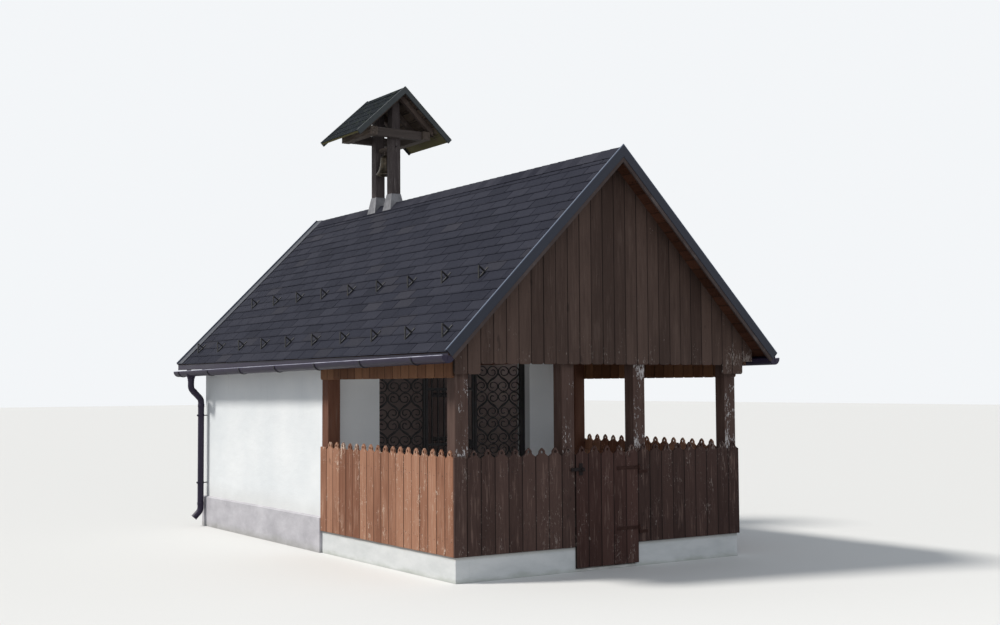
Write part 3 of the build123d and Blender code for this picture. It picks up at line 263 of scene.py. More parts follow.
def wood(name, dark, light, grain, board=None, start=0.0, axis="x", spread=0.5, seam_shade=0.8,
         flecks=0.0, fleck_color=None, worn=0.0, worn_color=(0.30, 0.24, 0.21), heavy=None, growth=None):
    """Stained wood with its grain along an axis, each board of a row in its own tint, and painted shade
    along the seams.
    """
    finish = Finish(name, roughness=0.75, Specular_IOR_Level=0.25)

    def drawn(power):
        return tuple(part ** power for part in grain)

    def darker(share):
        return tuple(part * share for part in dark)

    fibre = finish.noise(0.009, drawn(1.25), 5.0, 0.6)
    bands = finish.noise(0.035, grain, 3.0, 0.5, 2.0)
    tone = bands * 0.40 + fibre * 0.40 + finish.noise(0.30, drawn(0.4), offset=5.0) * 0.35
    middle = None
    if board is not None:
        rows = (getattr(finish, axis) - start) / board
        middle = 0.5 - abs(rows.fraction() - 0.5)
        tone = tone + (finish.number(rows.floor(), 3.0) - 0.5) * spread
    color = finish.mixed(finish.between(tone, 0.34, 0.82), dark, light)
    color = finish.blotched(color, fibre, 0.56, 0.74, 0.5, darker(0.5))
    knots = finish.noise(0.10, drawn(0.25), 1.0, offset=40.0)
    color = finish.blotched(color, knots, 0.74, 0.79, 0.5, darker(0.35))
    height = fibre * 0.7 + bands * 0.4
    if worn > 0:
        rubbed = finish.noise(0.016, drawn(1.1), 6.0, 0.65, 9.0)
        reach = rubbed + (finish.noise(0.45, detail=3.0, offset=12.0) - 0.5) * 0.5
        if middle is not None:
            reach = reach + finish.between(middle, 0.10, 0.40, -0.06, 0.05)
        color = finish.blotched(color, reach, 0.56, 0.72, worn, worn_color)
    # A dark line along both edges of each board is painted shade in the seams between the boards.
    if middle is not None:
        edge = finish.between(middle * board, 0.0015, 0.0075, seam_shade, 0.0)
        color = finish.mixed(edge, color, darker(0.22))
    if flecks > 0:
        chips = finish.noise(0.014, drawn(0.45), 8.0, 0.72, 20.0)
        reach = chips + (finish.noise(0.13, drawn(0.3), offset=31.0) - 0.5) * 0.5
        if heavy is not None:
            reach = reach + heavy(finish)
        mask = finish.between(reach, 0.63, 0.67) * flecks
        color = finish.mixed(mask, color, fleck_color)
        height = height + mask * 0.6
    if growth is not None:
        field = growth(finish)
        tufts = finish.noise(0.07, detail=5.0, rough=0.7, offset=50.0)
        mask = finish.between(tufts + (field - 0.5) * 0.35, 0.48, 0.58) * field
        color = finish.mixed(mask * 0.8, color, (0.150, 0.140, 0.048))
    return finish.shown(color, height=height, depth=0.0016)


posts_low, posts_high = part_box("front_posts")


def peeling_faces(finish):
    """Flecks on the fronts of the front posts: most right of the gate, and near the fence."""
    front = finish.between(finish.y, posts_low.y + 0.002, posts_low.y + 0.010, 0.0, -0.30)
    gate_left = finish.between(finish.x, -0.9, -0.6, 0.0, 0.025)
    gate_right = finish.between(finish.x, 0.0, 0.2, 0.0, 0.040)
    corner = finish.between(finish.x, 0.9, 1.2, 0.0, -0.030)
    return front + gate_left + gate_right + corner + finish.between(finish.z, 1.15, 1.60, 0.040, 0.0)


coat(wood("peeling_post_stain", (0.049, 0.026, 0.020), (0.107, 0.066, 0.054), ALONG_Z, flecks=0.85,
          worn=0.5, worn_color=(0.17, 0.12, 0.105), fleck_color=(0.58, 0.555, 0.55),
          heavy=peeling_faces), "front_posts", arris=0.003)
for stain, dark, light, grain, worn, arris, *names in (
        ("room_post_stain", (0.095, 0.036, 0.020), (0.165, 0.072, 0.043), ALONG_Z, 0.15, 0.003,
         "wall_posts"),
        ("plate_stain", (0.10, 0.045, 0.026), (0.20, 0.10, 0.06), ALONG_Y, 0.0, 0.003,
         "wall_plates", "ridge_beam"),
        ("beam_stain", (0.045, 0.022, 0.015), (0.095, 0.052, 0.035), ALONG_X, 0.0, 0.003,
         "front_beam", "gable_battens"),
        ("fascia_stain", (0.12, 0.055, 0.032), (0.22, 0.11, 0.066), ALONG_Y, 0.0, 0.002, "fascias"),
        ("rafter_stain", (0.10, 0.048, 0.028), (0.19, 0.098, 0.06), UP_THE_ROOF, 0.0, 0.003,
         "rafters_left", "rafters_right")):
    coat(wood(stain, dark, light, grain, worn=worn), *names, arris=arris)


# The roof boards are planed softwood, nailed across the rafters edge to edge. Their
# undersides show in the porch and under the roof's edges, stained red-brown.
def deselect():
    """Leaves edit mode with nothing selected."""
    if bpy.context.object and bpy.context.object.mode != "OBJECT":
        bpy.ops.object.mode_set(mode="OBJECT")
    bpy.ops.object.select_all(action="DESELECT")


def alone(piece):
    """Selects one piece and makes it active."""
    deselect()
    piece.select_set(True)
    bpy.context.view_layer.objects.active = piece
    return piece


def applied():
    """Puts the active piece's place, turn and size into its mesh."""
    bpy.ops.object.transform_apply(location=True, rotation=True, scale=True)
    return bpy.context.object


def form(add, place=(0, 0, 0), turn=(0, 0, 0), **settings):
    """Starts a piece as a plain form."""
    deselect()
    add(location=place, rotation=turn, **settings)
    return applied()


def pick(piece, kind, test=lambda middle, way: True):
    """Goes into edit mode with the faces or edges selected whose middle and direction pass."""
    alone(piece)
    bpy.ops.object.mode_set(mode="EDIT")
    bpy.ops.mesh.select_mode(type=kind)
    bpy.ops.mesh.select_all(action="DESELECT")
    bpy.ops.object.mode_set(mode="OBJECT")
    mesh = piece.data
    if kind == "FACE":
        for face in mesh.polygons:
            face.select = test(face.center, face.normal)
    else:
        for edge in mesh.edges:
            first, last = (mesh.vertices[i].co for i in edge.vertices)
            edge.select = test((first + last) / 2, (last - first).normalized())
    bpy.ops.object.mode_set(mode="EDIT")


def modified(piece, kind, **settings):
    """Adds a modifier with its settings and applies it."""
    alone(piece)
    modifier = piece.modifiers.new(kind, kind)
    for name, value in settings.items():
        setattr(modifier, name, value)
    bpy.ops.object.modifier_apply(modifier=modifier.name)
    return piece


def repeated(piece, count, step):
    """Repeats a piece in a straight row."""
    return modified(piece, "ARRAY", count=count, use_relative_offset=False,
                    use_constant_offset=True, constant_offset_displace=step)


def softened(piece, width, segments=1):
    """Takes the sharpness off the edges."""
    return modified(piece, "BEVEL", width=width, segments=segments, limit_method="ANGLE",
                    angle_limit=math.radians(35), harden_normals=False)


def block(low, high, soft=0.0, segments=1):
    """A squared block between two corners, its edges softened by a width."""
    low, high = Vector(low), Vector(high)
    piece = form(bpy.ops.mesh.primitive_cube_add, (low + high) / 2, size=1, scale=high - low)
    return softened(piece, soft, segments) if soft > 0 else piece


def clipped_corners(piece, test, radius, segments):
    """Rounds the corners whose edges pass."""
    pick(piece, "EDGE", test)
    bpy.ops.mesh.bevel(offset=radius, segments=segments, affect="EDGES")


def moved(piece, offset=(0, 0, 0), turn=(0, 0, 0), size=(1, 1, 1)):
    """Turns a piece about the origin and moves it, and puts that into its mesh."""
    alone(piece)
    piece.rotation_euler = [math.radians(angle) for angle in turn]
    piece.scale = size
    piece.location = offset
    return applied()


def sloped(piece, base, pitch=45):
    """Lays a piece that was made flat, with the ridge at x 0, on a left slope."""
    return moved(piece, (0, 0, base), (0, -pitch, 0))


def cut(piece, point, normal, fill=True):
    """Cuts off what lies on the side of a plane that its normal points to."""
    pick(piece, "FACE")
    bpy.ops.mesh.bisect(plane_co=point, plane_no=normal, use_fill=fill, clear_outer=True)
    deselect()
    return piece


def ends_cut(piece, front, rear):
    """Cuts a covering off square at the front and rear."""
    cut(piece, (0, front, 0), (0, -1, 0))
    return cut(piece, (0, rear, 0), (0, 1, 0))


def mitred(piece, base, pitch=45):
    """Lays a piece on the left slope and cuts it off at the ridge."""
    return cut(sloped(piece, base, pitch), (0, 0, 0), (1, 0, 0))


def outward(piece, merge=True):
    """Merges doubles and turns all faces outwards."""
    pick(piece, "FACE")
    if merge:
        bpy.ops.mesh.remove_doubles(threshold=0.00005)
    bpy.ops.mesh.normals_make_consistent(inside=False)
    deselect()


def copied(piece, size=(1, 1, 1), offset=(0, 0, 0)):
    """A copy with its own mesh, moved or mirrored."""
    twin = piece.copy()
    twin.data = piece.data.copy()
    bpy.context.scene.collection.objects.link(twin)
    moved(twin, offset, size=size)
    if size[0] * size[1] * size[2] < 0:
        outward(twin, merge=False)
    return twin


def joined(pieces):
    """Several pieces as one."""
    deselect()
    for piece in pieces:
        piece.select_set(True)
    bpy.context.view_layer.objects.active = pieces[0]
    if len(pieces) > 1:
        bpy.ops.object.join()
    return pieces[0]


def both(piece):
    """A piece and its mirror image on the other side, as one."""
    return joined([piece, copied(piece, (-1, 1, 1))])


def finished(piece, name, material, slot, *stands_for, body="chapel", smooth=None):
    """Names a piece, gives it its finish and joins it to what it moves with."""
    alone(piece)
    piece.name = name
    piece.data.materials.clear()
    piece.data.materials.append(material)
    if smooth:
        bpy.ops.object.shade_smooth_by_angle(angle=math.radians(smooth))
    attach(piece, body)
    if stands_for:
        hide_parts(*stands_for)


def finished_sides(piece, name, material, slot, node, smooth=None):
    """Finishes a piece on the left and its mirror image on the right."""
    right = copied(piece, (-1, 1, 1))
    for hand, half in (("left", piece), ("right", right)):
        finished(half, name + hand, material, slot, node + hand, smooth=smooth)


shingle_low, shingle_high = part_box("shingles_left")
deck_low, deck_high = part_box("deck_left")
roof_front, roof_rear = shingle_low.y, shingle_high.y
ridge_z, deck_top = shingle_high.z, deck_high.z
diagonal = math.sqrt(2)
deck_board = 0.024
deck_boards = 22
deck_slope = -deck_low.x * diagonal
deck_width = deck_slope / deck_boards

soffit = wood("soffit_stain", (0.050, 0.017, 0.008), (0.098, 0.037, 0.020), ALONG_Y,
              board=deck_width / diagonal, spread=0.35, seam_shade=0.6)
board = block((-deck_slope, roof_front, -deck_board), (-deck_slope + deck_width - 0.0015, roof_rear, 0),
              0.0015)
repeated(board, deck_boards, (deck_width, 0, 0))
finished_sides(sloped(board, deck_top), "roof_boards_", soffit, "soffit_wood", "deck_")


# The covering is three-tab bitumen shingles with slate granules, each course laid
# over the one below and set off by half a tab.
exposure = 0.132
tab = 0.3333
tab_slot = 0.008
tab_length = 0.152
tab_sheet = 0.0042
tab_tilt = 2.1
eave_edge = -shingle_low.x * diagonal
courses = math.ceil(eave_edge / exposure)

slate = Finish("slate_granule_shingle", roughness=0.93, Specular_IOR_Level=0.12)
up_slope = (eave_edge - abs(slate.x) * diagonal) / exposure + 0.02
course = up_slope.floor()
which = ((slate.y - roof_front) / tab - (course * 0.5).fraction()).floor()
each = slate.number(which, course)
odd = slate.number(which + 40.0, course)
granule = slate.noise(0.0035, detail=2.0, rough=0.9)
weather = slate.noise(0.9, offset=4.0)
streak = slate.noise(0.05, (5, 1, 5), offset=14.0)
mottle = slate.noise(0.028, detail=5.0, rough=0.7, offset=24.0)
tone = each * 0.26 + granule * 0.30 + weather * 0.30 + streak * 0.15 + mottle * 0.30 - 0.08
slate_color = slate.ramp(tone, (0.30, (0.014, 0.015, 0.024)), (0.58, (0.022, 0.0235, 0.035)),
                         (0.85, (0.034, 0.035, 0.048)))
slate_color = slate.mixed((odd > 0.93) * 0.35, slate_color, (0.011, 0.012, 0.019))
slate_color = slate.mixed((odd < 0.05) * 0.25, slate_color, (0.050, 0.048, 0.055))
slate_color = slate.blotched(slate_color, granule, 0.66, 0.78, 0.35, (0.10, 0.10, 0.112))
# A dark band along the lower edge of each course is painted shade of the step between courses.
course_edge_shade = slate.between(up_slope.fraction(), 0.0, 0.14, 0.6, 0.0)
slate_color = slate.mixed(course_edge_shade, slate_color, (0.006, 0.006, 0.010))
slate.shown(slate_color, height=granule, depth=0.0015)

under = block((-eave_edge + 0.012, roof_front, 0.0), (0, roof_rear, 0.002))
tabs = block((-tab_length, 0, 0), (0, tab - tab_slot, tab_sheet))
clipped_corners(tabs, lambda middle, way: middle.x < -tab_length + 0.001 and abs(way.z) > 0.9, 0.006, 2)
softened(tabs, 0.0008)
moved(tabs, (-eave_edge + tab_length, roof_front, 0.0012), (0, tab_tilt, 0))
across_count = math.ceil((roof_rear - roof_front) / tab) + 1
repeated(tabs, across_count, (0, tab, 0))
halves = copied(tabs, offset=(exposure, -tab / 2, 0))
even_courses = math.ceil(courses / 2)
for half in (tabs, halves):
    repeated(half, even_courses, (2 * exposure, 0, 0))
shingles = joined([tabs, halves])
per_tab = len(shingles.data.vertices) // (2 * even_courses * across_count)
chance = random.Random(5)
for first in range(0, len(shingles.data.vertices), per_tab):
    corners = shingles.data.vertices[first:first + per_tab]
    lift = chance.uniform(0.0, 0.0024)
    slip = chance.uniform(-0.0022, 0.0022)
    low_edge = min(corner.co.x for corner in corners)
    for corner in corners:
        corner.co.z += lift * (1 - (corner.co.x - low_edge) / tab_length)
        corner.co.x += slip
ends_cut(shingles, roof_front, roof_rear)
cut(shingles, (-0.001, 0, 0), (1, 0, 0))
shingles = sloped(joined([shingles, under]), deck_top)
finished_sides(shingles, "shingles_on_", slate.material, "shingle", "shingles_")


# Cap shingles are folded over the ridge, each lapping the next towards the front.
cap_low, cap_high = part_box("ridge_cap")
cap_reach = cap_high.x * diagonal
cap_count = round((cap_high.y - cap_low.y) / 0.138)
cap_step = (cap_high.y - cap_low.y) / cap_count
cap = block((-cap_reach, 0, 0.001), (0, cap_step * 1.12, 0.0050))
clipped_corners(cap, lambda middle, way: middle.x < -cap_reach + 0.001 and abs(way.z) > 0.9, 0.010, 2)
softened(cap, 0.0008)
moved(cap, turn=(1.5, 0, 0))
sloped(cap, ridge_z)
cut(cap, (0, 0, 0), (1, 0, 0), fill=False)
modified(cap, "MIRROR", use_axis=(True, False, False), use_clip=True, merge_threshold=0.0004)
moved(cap, (0, cap_low.y, 0))
repeated(cap, cap_count, (0, cap_step, 0))
cut(cap, (0, cap_high.y, 0), (0, 1, 0))
cap_finish = Finish("ridge_cap_granules", roughness=0.93, Specular_IOR_Level=0.12)
cap_each = cap_finish.number(((cap_finish.y - cap_low.y) / cap_step).floor(), 2.0)
cap_granule = cap_finish.noise(0.0035, detail=2.0, rough=0.9)
cap_tone = cap_each * 0.5 + cap_granule * 0.5
cap_finish.shown(cap_finish.ramp(cap_tone, (0.25, (0.014, 0.015, 0.024)), (0.8, (0.036, 0.037, 0.050))),
                 height=cap_granule, depth=0.0015)
finished(cap, "ridge_caps", cap_finish.material, "shingle", "ridge_cap")


# Coated steel sheet is folded over each verge: a standing fold, a face with a hem at
# its foot, and a flange on the shingles. A narrow board is nailed up behind it.
verge_low, verge_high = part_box("verge_front")
sheet_face = 0.062
verge_depth = 0.100
fold_rise = 0.018
fold_width = 0.012
verge_run = -verge_low.x * diagonal


def fold_highlight(finish, color):
    """The standing fold's top edge is painted pale: a painted highlight."""
    above_slope = (abs(finish.x) + finish.z - ridge_z) / diagonal
    share = finish.between(above_slope, fold_rise - 0.007, fold_rise - 0.002) * 0.8
    return finish.mixed(share, color, (0.15, 0.18, 0.25))


sheet = two_tone("navy_coated_sheet", 0.5, (0.35, (0.010, 0.013, 0.025)), (0.7, (0.018, 0.022, 0.036)),
                 blot=(0.010, (1, 1, 1), 3.0, 3.0, 0.66, 0.76, 0.25, (0.10, 0.11, 0.13)),
                 rough=(0.3, 0.26), over=fold_highlight, roughness=0.45, Specular_IOR_Level=0.35)
verge_wood = wood("verge_board_stain", (0.040, 0.027, 0.025), (0.085, 0.066, 0.063), (12, 1, 12), worn=0.5,
                  worn_color=(0.18, 0.155, 0.15))


def verge_strip(bounds_in_slope, inward, outer, bevel):
    """Two mitred strips along a verge, given by their depths and heights on the slope."""
    strips = []
    for y0, y1, z0, z1 in bounds_in_slope:
        low_y, high_y = sorted((outer + inward * y0, outer + inward * y1))
        strips.append(block((-verge_run, low_y, z0), (0.2, high_y, z1), bevel))
    return both(mitred(joined(strips), ridge_z))


for name, outer, inward, flange in (("front", verge_low.y, 1, 0.045),
                                    ("rear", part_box("verge_rear")[1].y, -1, 0.190)):
    sheets = verge_strip([(0.0, 0.0022, -sheet_face, fold_rise - 0.003),
                          (0.0, 0.010, -sheet_face - 0.004, -sheet_face),
                          (0.0, fold_width, fold_rise - 0.005, fold_rise + 0.002),
                          (fold_width - 0.002, fold_width, 0.006, fold_rise - 0.003),
                          (fold_width - 0.002, flange, 0.0062, 0.0080)], inward, outer, 0.0007)
    finished(sheets, "verge_sheets_" + name, sheet, "verge_metal", "verge_" + name)
    boards = verge_strip([(0.006, 0.026, -verge_depth, -0.036)], inward, outer, 0.002)
    finished(boards, "verge_boards_" + name, verge_wood, "frame_wood")


# The gable is closed with upright boards nailed to battens. Their feet are rounded,
# and two at each end hang lower to cover the ends of the eaves.
boarding_low, boarding_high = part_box("gable_boarding")
gable_count = 27
gable_width = (boarding_high.x - boarding_low.x) / gable_count
gable_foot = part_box("front_beam")[0].z - 0.070
gable_drop = 0.090
gable_end_rise = 0.035
gable_radius = 0.026
seam = 0.0036


def weather_side(finish):
    """More flecks at the feet of the boards, most on the long ones at the right."""
    feet = finish.between(finish.z, 1.95, 2.4, -0.005, -0.09)
    right = finish.between(finish.x, 1.3, 1.5, 0.0, 0.08)
    return feet + right * finish.between(finish.z, 1.9, 2.3, 1.0, 0.3)


gable_wood = wood("gable_stain", (0.040, 0.0225, 0.0172), (0.088, 0.055, 0.0435), ALONG_Z,
                  board=gable_width, start=boarding_low.x, spread=0.35, worn=0.35,
                  worn_color=(0.115, 0.078, 0.064), flecks=0.6, fleck_color=(0.38, 0.33, 0.30),
                  heavy=weather_side)


def rounded_board(width, depth, foot, top, radius):
    """An upright board with both lower corners rounded, its left edge at x 0."""
    board = block((seam / 2, 0, foot), (width - seam / 2, depth, top))
    if radius > 0:
        clipped_corners(board, lambda middle, way: middle.z < foot + 0.001 and abs(way.y) > 0.9, radius, 6)
    return softened(board, 0.0025, 2)


def nail_heads(places, face, turn=(0, 0, 0), radius=0.0042, proud=0.0018):
    """Domed heads at (x, z) places on a face that looks to the front before its turn."""
    head = form(bpy.ops.mesh.primitive_cone_add, (0, -proud / 2, 0), (math.pi / 2, 0, 0), vertices=8,
                radius1=radius, radius2=radius * 0.55, depth=proud)
    heads = [copied(head, offset=(x, 0, z)) for x, z in places]
    bpy.data.objects.remove(head)
    return moved(joined(heads), face, turn)


boards = []
for first, count, drop, radius in ((0, 1, -gable_end_rise, 0), (1, 2, gable_drop, gable_radius),
                                   (3, gable_count - 6, 0.0, gable_radius),
                                   (gable_count - 3, 2, gable_drop, gable_radius),
                                   (gable_count - 1, 1, -gable_end_rise, 0)):
    board = rounded_board(gable_width, boarding_high.y - boarding_low.y, gable_foot - drop,
                          boarding_high.z, radius)
    moved(board, (boarding_low.x + first * gable_width, boarding_low.y, 0))
    boards.append(repeated(board, count, (gable_width, 0, 0)))
boarding = joined(boards)
luck = random.Random(21)
depths = {}
for corner in boarding.data.vertices:
    place = math.floor((corner.co.x - boarding_low.x) / gable_width)
    corner.co.y += depths.setdefault(place, luck.uniform(0.0, 0.0025))
for side in (-1, 1):
    cut(boarding, (0, 0, boarding_high.z), (side, 0, 1))
finished(boarding, "gable_boards", gable_wood, "gable_wood", "gable_boarding")

iron = two_tone("black_wrought_iron", 0.02, (0.4, (0.012, 0.012, 0.014)), (0.75, (0.035, 0.032, 0.031)),
                blot=(0.035, (1, 1, 1), 5.0, 6.0, 0.62, 0.74, 0.4, (0.075, 0.035, 0.020)),
                rough=(0.3, 0.38), depth=0.0006, roughness=0.5, metallic=0.35)
places = []
batten_low, batten_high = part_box("gable_battens")
for z in (batten_low.z + 0.030, (batten_low.z + batten_high.z) / 2, batten_high.z - 0.030):
    for i in range(gable_count):
        x = boarding_low.x + (i + 0.5) * gable_width
        if abs(x) + gable_width / 2 < boarding_high.z - z - 0.03:
            places += [(x - gable_width * 0.26, z), (x + gable_width * 0.26, z)]
finished(nail_heads(places, (0, boarding_low.y + 0.0004, 0), radius=0.0035, proud=0.0016), "gable_nails",
         iron, "iron")


# Short boards with rounded feet hang from the wall plates as valances over the
# porch's open sides.
valance_low, valance_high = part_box("valances")
valance_count = 17
valance_width = (valance_high.y - valance_low.y) / valance_count
valance_wood = wood("valance_stain", (0.120, 0.048, 0.021), (0.235, 0.112, 0.055), ALONG_Z,
                    board=valance_width, start=valance_low.y, axis="y")
valance = rounded_board(valance_width, 0.020, valance_low.z, valance_high.z, 0.024)
repeated(valance, valance_count, (valance_width, 0, 0))
moved(valance, (valance_low.x, valance_high.y, 0), (0, 0, -90))
finished(both(valance), "valance_boards", valance_wood, "valance_wood", "valances")


# Fences and gate are upright boards nailed to two rails. Each head is cut to a small
# pierced spear over hollow shoulders. The stain is worn through in streaks.
valley = 1.070
head = ((0.010, 0.75), (0.021, 0.53), (0.030, 0.45), (0.046, 0.44), (0.057, 0.335), (0.067, 0.19),
        (0.078, 0.03))
eye_height = 0.041
eye_radius = 0.0140
post = 0.140
fence_board = 0.020
kerb_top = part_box("kerb_sides")[1].z
rail_feet = (kerb_top + 0.105, valley - 0.175)
rail_height = 0.070
rail_depth = 0.035


def spear_boards(length, foot, count, seed):
    """A row of boards with cut heads from x 0, each a little up or down and in or out."""
    width = length / count
    board = block((seam / 2, 0, foot), (width - seam / 2, fence_board, valley))
    pick(board, "FACE", lambda middle, facing: facing.z > 0.9)
    height, span = 0.0, 1.0
    for rise, share in head:
        bpy.ops.mesh.extrude_region_move(TRANSFORM_OT_translate={"value": (0, 0, rise - height)})
        bpy.ops.transform.resize(value=(share / span, 1, 1))
        height, span = rise, share
    drill = form(bpy.ops.mesh.primitive_cylinder_add, (width / 2, fence_board / 2, valley + eye_height),
                 (math.pi / 2, 0, 0), vertices=12, radius=eye_radius, depth=fence_board * 3)
    modified(board, "BOOLEAN", operation="DIFFERENCE", object=drill)
    bpy.data.objects.remove(drill)
    row = repeated(softened(board, 0.0018), count, (width, 0, 0))
    luck = random.Random(seed)
    share = len(row.data.vertices) // count
    for first in range(0, count * share, share):
        up = luck.uniform(-0.004, 0.004)
        inward = luck.uniform(0, 0.0025)
        for corner in row.data.vertices[first:first + share]:
            corner.co.y += inward
            if corner.co.z > 1.0:
                corner.co.z += up
    return row


def plain_board(width):
    """A square-headed board that ends at x 0."""
    return block((-width, 0, kerb_top), (-seam, fence_board, valley + 0.020), 0.002)


def rails(x0, x1, y0, y1):
    """The two rails behind the boards."""
    return [block((x0, y0, foot), (x1, y1, foot + rail_height), 0.003) for foot in rail_feet]


def rail_nails(start, width, count, face, turn=(0, 0, 0)):
    """Two nails in each board at each rail."""
    places = [(start + (i + part) * width, foot + 0.035 + rise) for foot in rail_feet
              for i in range(count) for part, rise in ((0.25, 0.012), (0.75, -0.012))]
    return nail_heads(places, face, turn)


def bare_heads(finish):
    """Stain is gone from parts of the cut heads."""
    return finish.between(finish.z, 1.05, 1.11, 0.0, 0.07)


side_low, side_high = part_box("fence_left")
side_count = 17
side_length = side_high.y - side_low.y - post
side_width = side_length / side_count
side_end = side_high.y - post
side_wood = wood("side_fence_stain", (0.180, 0.073, 0.040), (0.365, 0.182, 0.112), ALONG_Z,
                 board=side_width, start=side_low.y, axis="y", spread=0.45, flecks=0.8, seam_shade=0.95,
                 fleck_color=(0.66, 0.52, 0.42), worn=0.5, worn_color=(0.45, 0.29, 0.21),
                 heavy=bare_heads)
side = joined([spear_boards(side_length, kerb_top, side_count, 3), plain_board(post)])
moved(side, (side_low.x, side_end, 0), (0, 0, -90))
rail_face = side_low.x + fence_board
side = joined([side] + rails(rail_face, rail_face + rail_depth, side_low.y + post, side_end))
finished_sides(side, "side_fence_", side_wood, "side_fence_wood", "fence_")
nails = rail_nails(0, side_width, side_count, (side_low.x + 0.0004, side_end, 0), (0, 0, -90))
finished(both(nails), "side_fence_nails", iron, "iron")

front_low, front_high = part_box("fence_front_left")
right_low, right_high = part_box("fence_front_right")
gate_low, gate_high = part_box("gate_leaf")
corner_board = 0.130
gate_posts = (-0.4995, 0.3405)


def front_panel(name, stain, low, end, foot, count, seed, dark, light, others, node, body="chapel"):
    """Boards with cut heads between two places, and what is fixed to them; gives a board's width."""
    width = (end - low.x) / count
    finish = wood(stain, dark, light, ALONG_Z, board=width, start=low.x, flecks=0.55,
                  fleck_color=(0.34, 0.28, 0.25), worn=0.7, worn_color=(0.150, 0.095, 0.078),
                  seam_shade=0.95, heavy=bare_heads)
    row = moved(spear_boards(end - low.x, foot, count, seed), low * Vector((1, 1, 0)))
    finished(joined([row] + others), name, finish, "front_fence_wood", node, body=body)
    return width


left_low = Vector((front_low.x + corner_board, front_low.y, 0))
corner = moved(plain_board(corner_board), left_low)
left_width = front_panel(
    "front_fence_left", "front_fence_stain_left", left_low, front_high.x, kerb_top, 8, 11,
    (0.033, 0.0160, 0.0128), (0.076, 0.043, 0.035),
    [corner] + rails(posts_low.x + post, gate_posts[0], posts_low.y, posts_low.y + rail_depth),
    "fence_front_left")
right_width = front_panel(
    "front_fence_right", "front_fence_stain_right", right_low, right_high.x, kerb_top, 9, 12,
    (0.024, 0.0105, 0.0082), (0.056, 0.029, 0.0235),
    rails(gate_posts[1] + post, posts_high.x - post, posts_low.y, posts_low.y + rail_depth),
    "fence_front_right")
nails = joined([rail_nails(start, width, count, (0, front_low.y + 0.0006, 0))
                for start, width, count in ((left_low.x, left_width, 8), (right_low.x, right_width, 9))])
finished(nails, "front_fence_nails", iron, "iron")


# The gate is made as the fence is, with a brace between its rails, and closes on the
# faces of its two posts.
gate_back = gate_low.y + fence_board
rail_left, rail_right = gate_posts[0] + post + 0.008, gate_posts[1] - 0.008
brace_width = 0.09
brace = block((rail_left, gate_back, rail_feet[0] + rail_height),
              (rail_left + brace_width, gate_back + rail_depth, rail_feet[1]))
pick(brace, "FACE", lambda middle, facing: facing.z < -0.9)
bpy.ops.transform.translate(value=(rail_right - rail_left - brace_width, 0, 0))
softened(brace, 0.003)
gate_width = front_panel(
    "porch_gate_boards", "gate_stain", gate_low, gate_high.x, gate_low.z, 5, 13,
    (0.029, 0.0105, 0.0078), (0.066, 0.031, 0.025),
    [brace] + rails(rail_left, rail_right, gate_back, gate_back + rail_depth), "gate_leaf",
    body="porch_gate")
finished(rail_nails(gate_low.x, gate_width, 5, (0, gate_low.y + 0.0006, 0)), "porch_gate_nails", iron,
         "iron", body="porch_gate")


# The gate hangs by two forged straps on pins, and is shut by a sliding bar on a plate.
# The straps and the plate are bolted through the boards.
strap_sheet = 0.004
hinge_x = 0.3705


def dark_latch(finish, color):
    """The paint has gone from the latch, which is near black."""
    return finish.mixed(finish.between(finish.x, -0.20, -0.15, 1.0, 0.0), color, (0.016, 0.012, 0.012))


painted = two_tone("brown_painted_iron", 0.012, (0.4, (0.028, 0.012, 0.009)), (0.7, (0.052, 0.025, 0.020)),
                   stretch=(6, 1, 1), depth=0.0006, over=dark_latch, roughness=0.75,
                   Specular_IOR_Level=0.15)
coat(painted, "gate_ironwork", "gate_pins", arris=0.0012)
places = [(hinge_x - back, foot + rail_height / 2) for foot in rail_feet for back in (0.05, 0.14, 0.23)]
finished(nail_heads(places, (0, gate_low.y - strap_sheet, 0), radius=0.0075, proud=0.0045),
         "gate_strap_bolts", painted, "iron", body="porch_gate")


# The room is closed by a wrought iron grille: two panels of scrolls forged in pairs to
# hearts and held by collars, and between them a leaf of upright bars.
grille_low, grille_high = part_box("grille_frame")
scroll_low, scroll_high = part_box("grille_scrolls")
panel_starts = (-0.9675, 0.3135)
scroll_pitch = 0.1465
scroll_columns = 4
scroll_rows = 12
row_close, row_wide = 0.130, 0.162
row_heights = [1.867]
for i in range(1, scroll_rows):
    row_heights.append(row_heights[-1] - (row_wide if i % 2 == 1 else row_close))
scroll_foot = row_heights[-1] - row_close / 2
scroll_head = grille_high.z - 0.027
scroll_bar = 0.011
forged_lap = 0.0004
lobe_across = scroll_pitch / 2 + forged_lap - scroll_bar / 2
lobe_upright = row_close / 2 + forged_lap - scroll_bar / 2
heart_point = 0.138
scroll_turns = ((130, 1.0), (180, 1.0), (225, 1.0), (270, 1.0), (315, 1.0), (360, 1.0), (65, 0.77),
                (145, 0.58), (240, 0.42), (325, 0.31))

grille_iron = two_tone("dark_grille_iron", 0.015, (0.4, (0.009, 0.009, 0.011)),
                       (0.75, (0.026, 0.024, 0.025)),
                       blot=(0.2, (1, 1, 1), 3.0, 8.0, 0.5, 0.7, 0.25, (0.06, 0.052, 0.05)),
                       rough=(0.3, 0.4), depth=0.0005, roughness=0.55, metallic=0.25)
coat(grille_iron, "grille_frame", "grille_leaf", arris=0.0015)


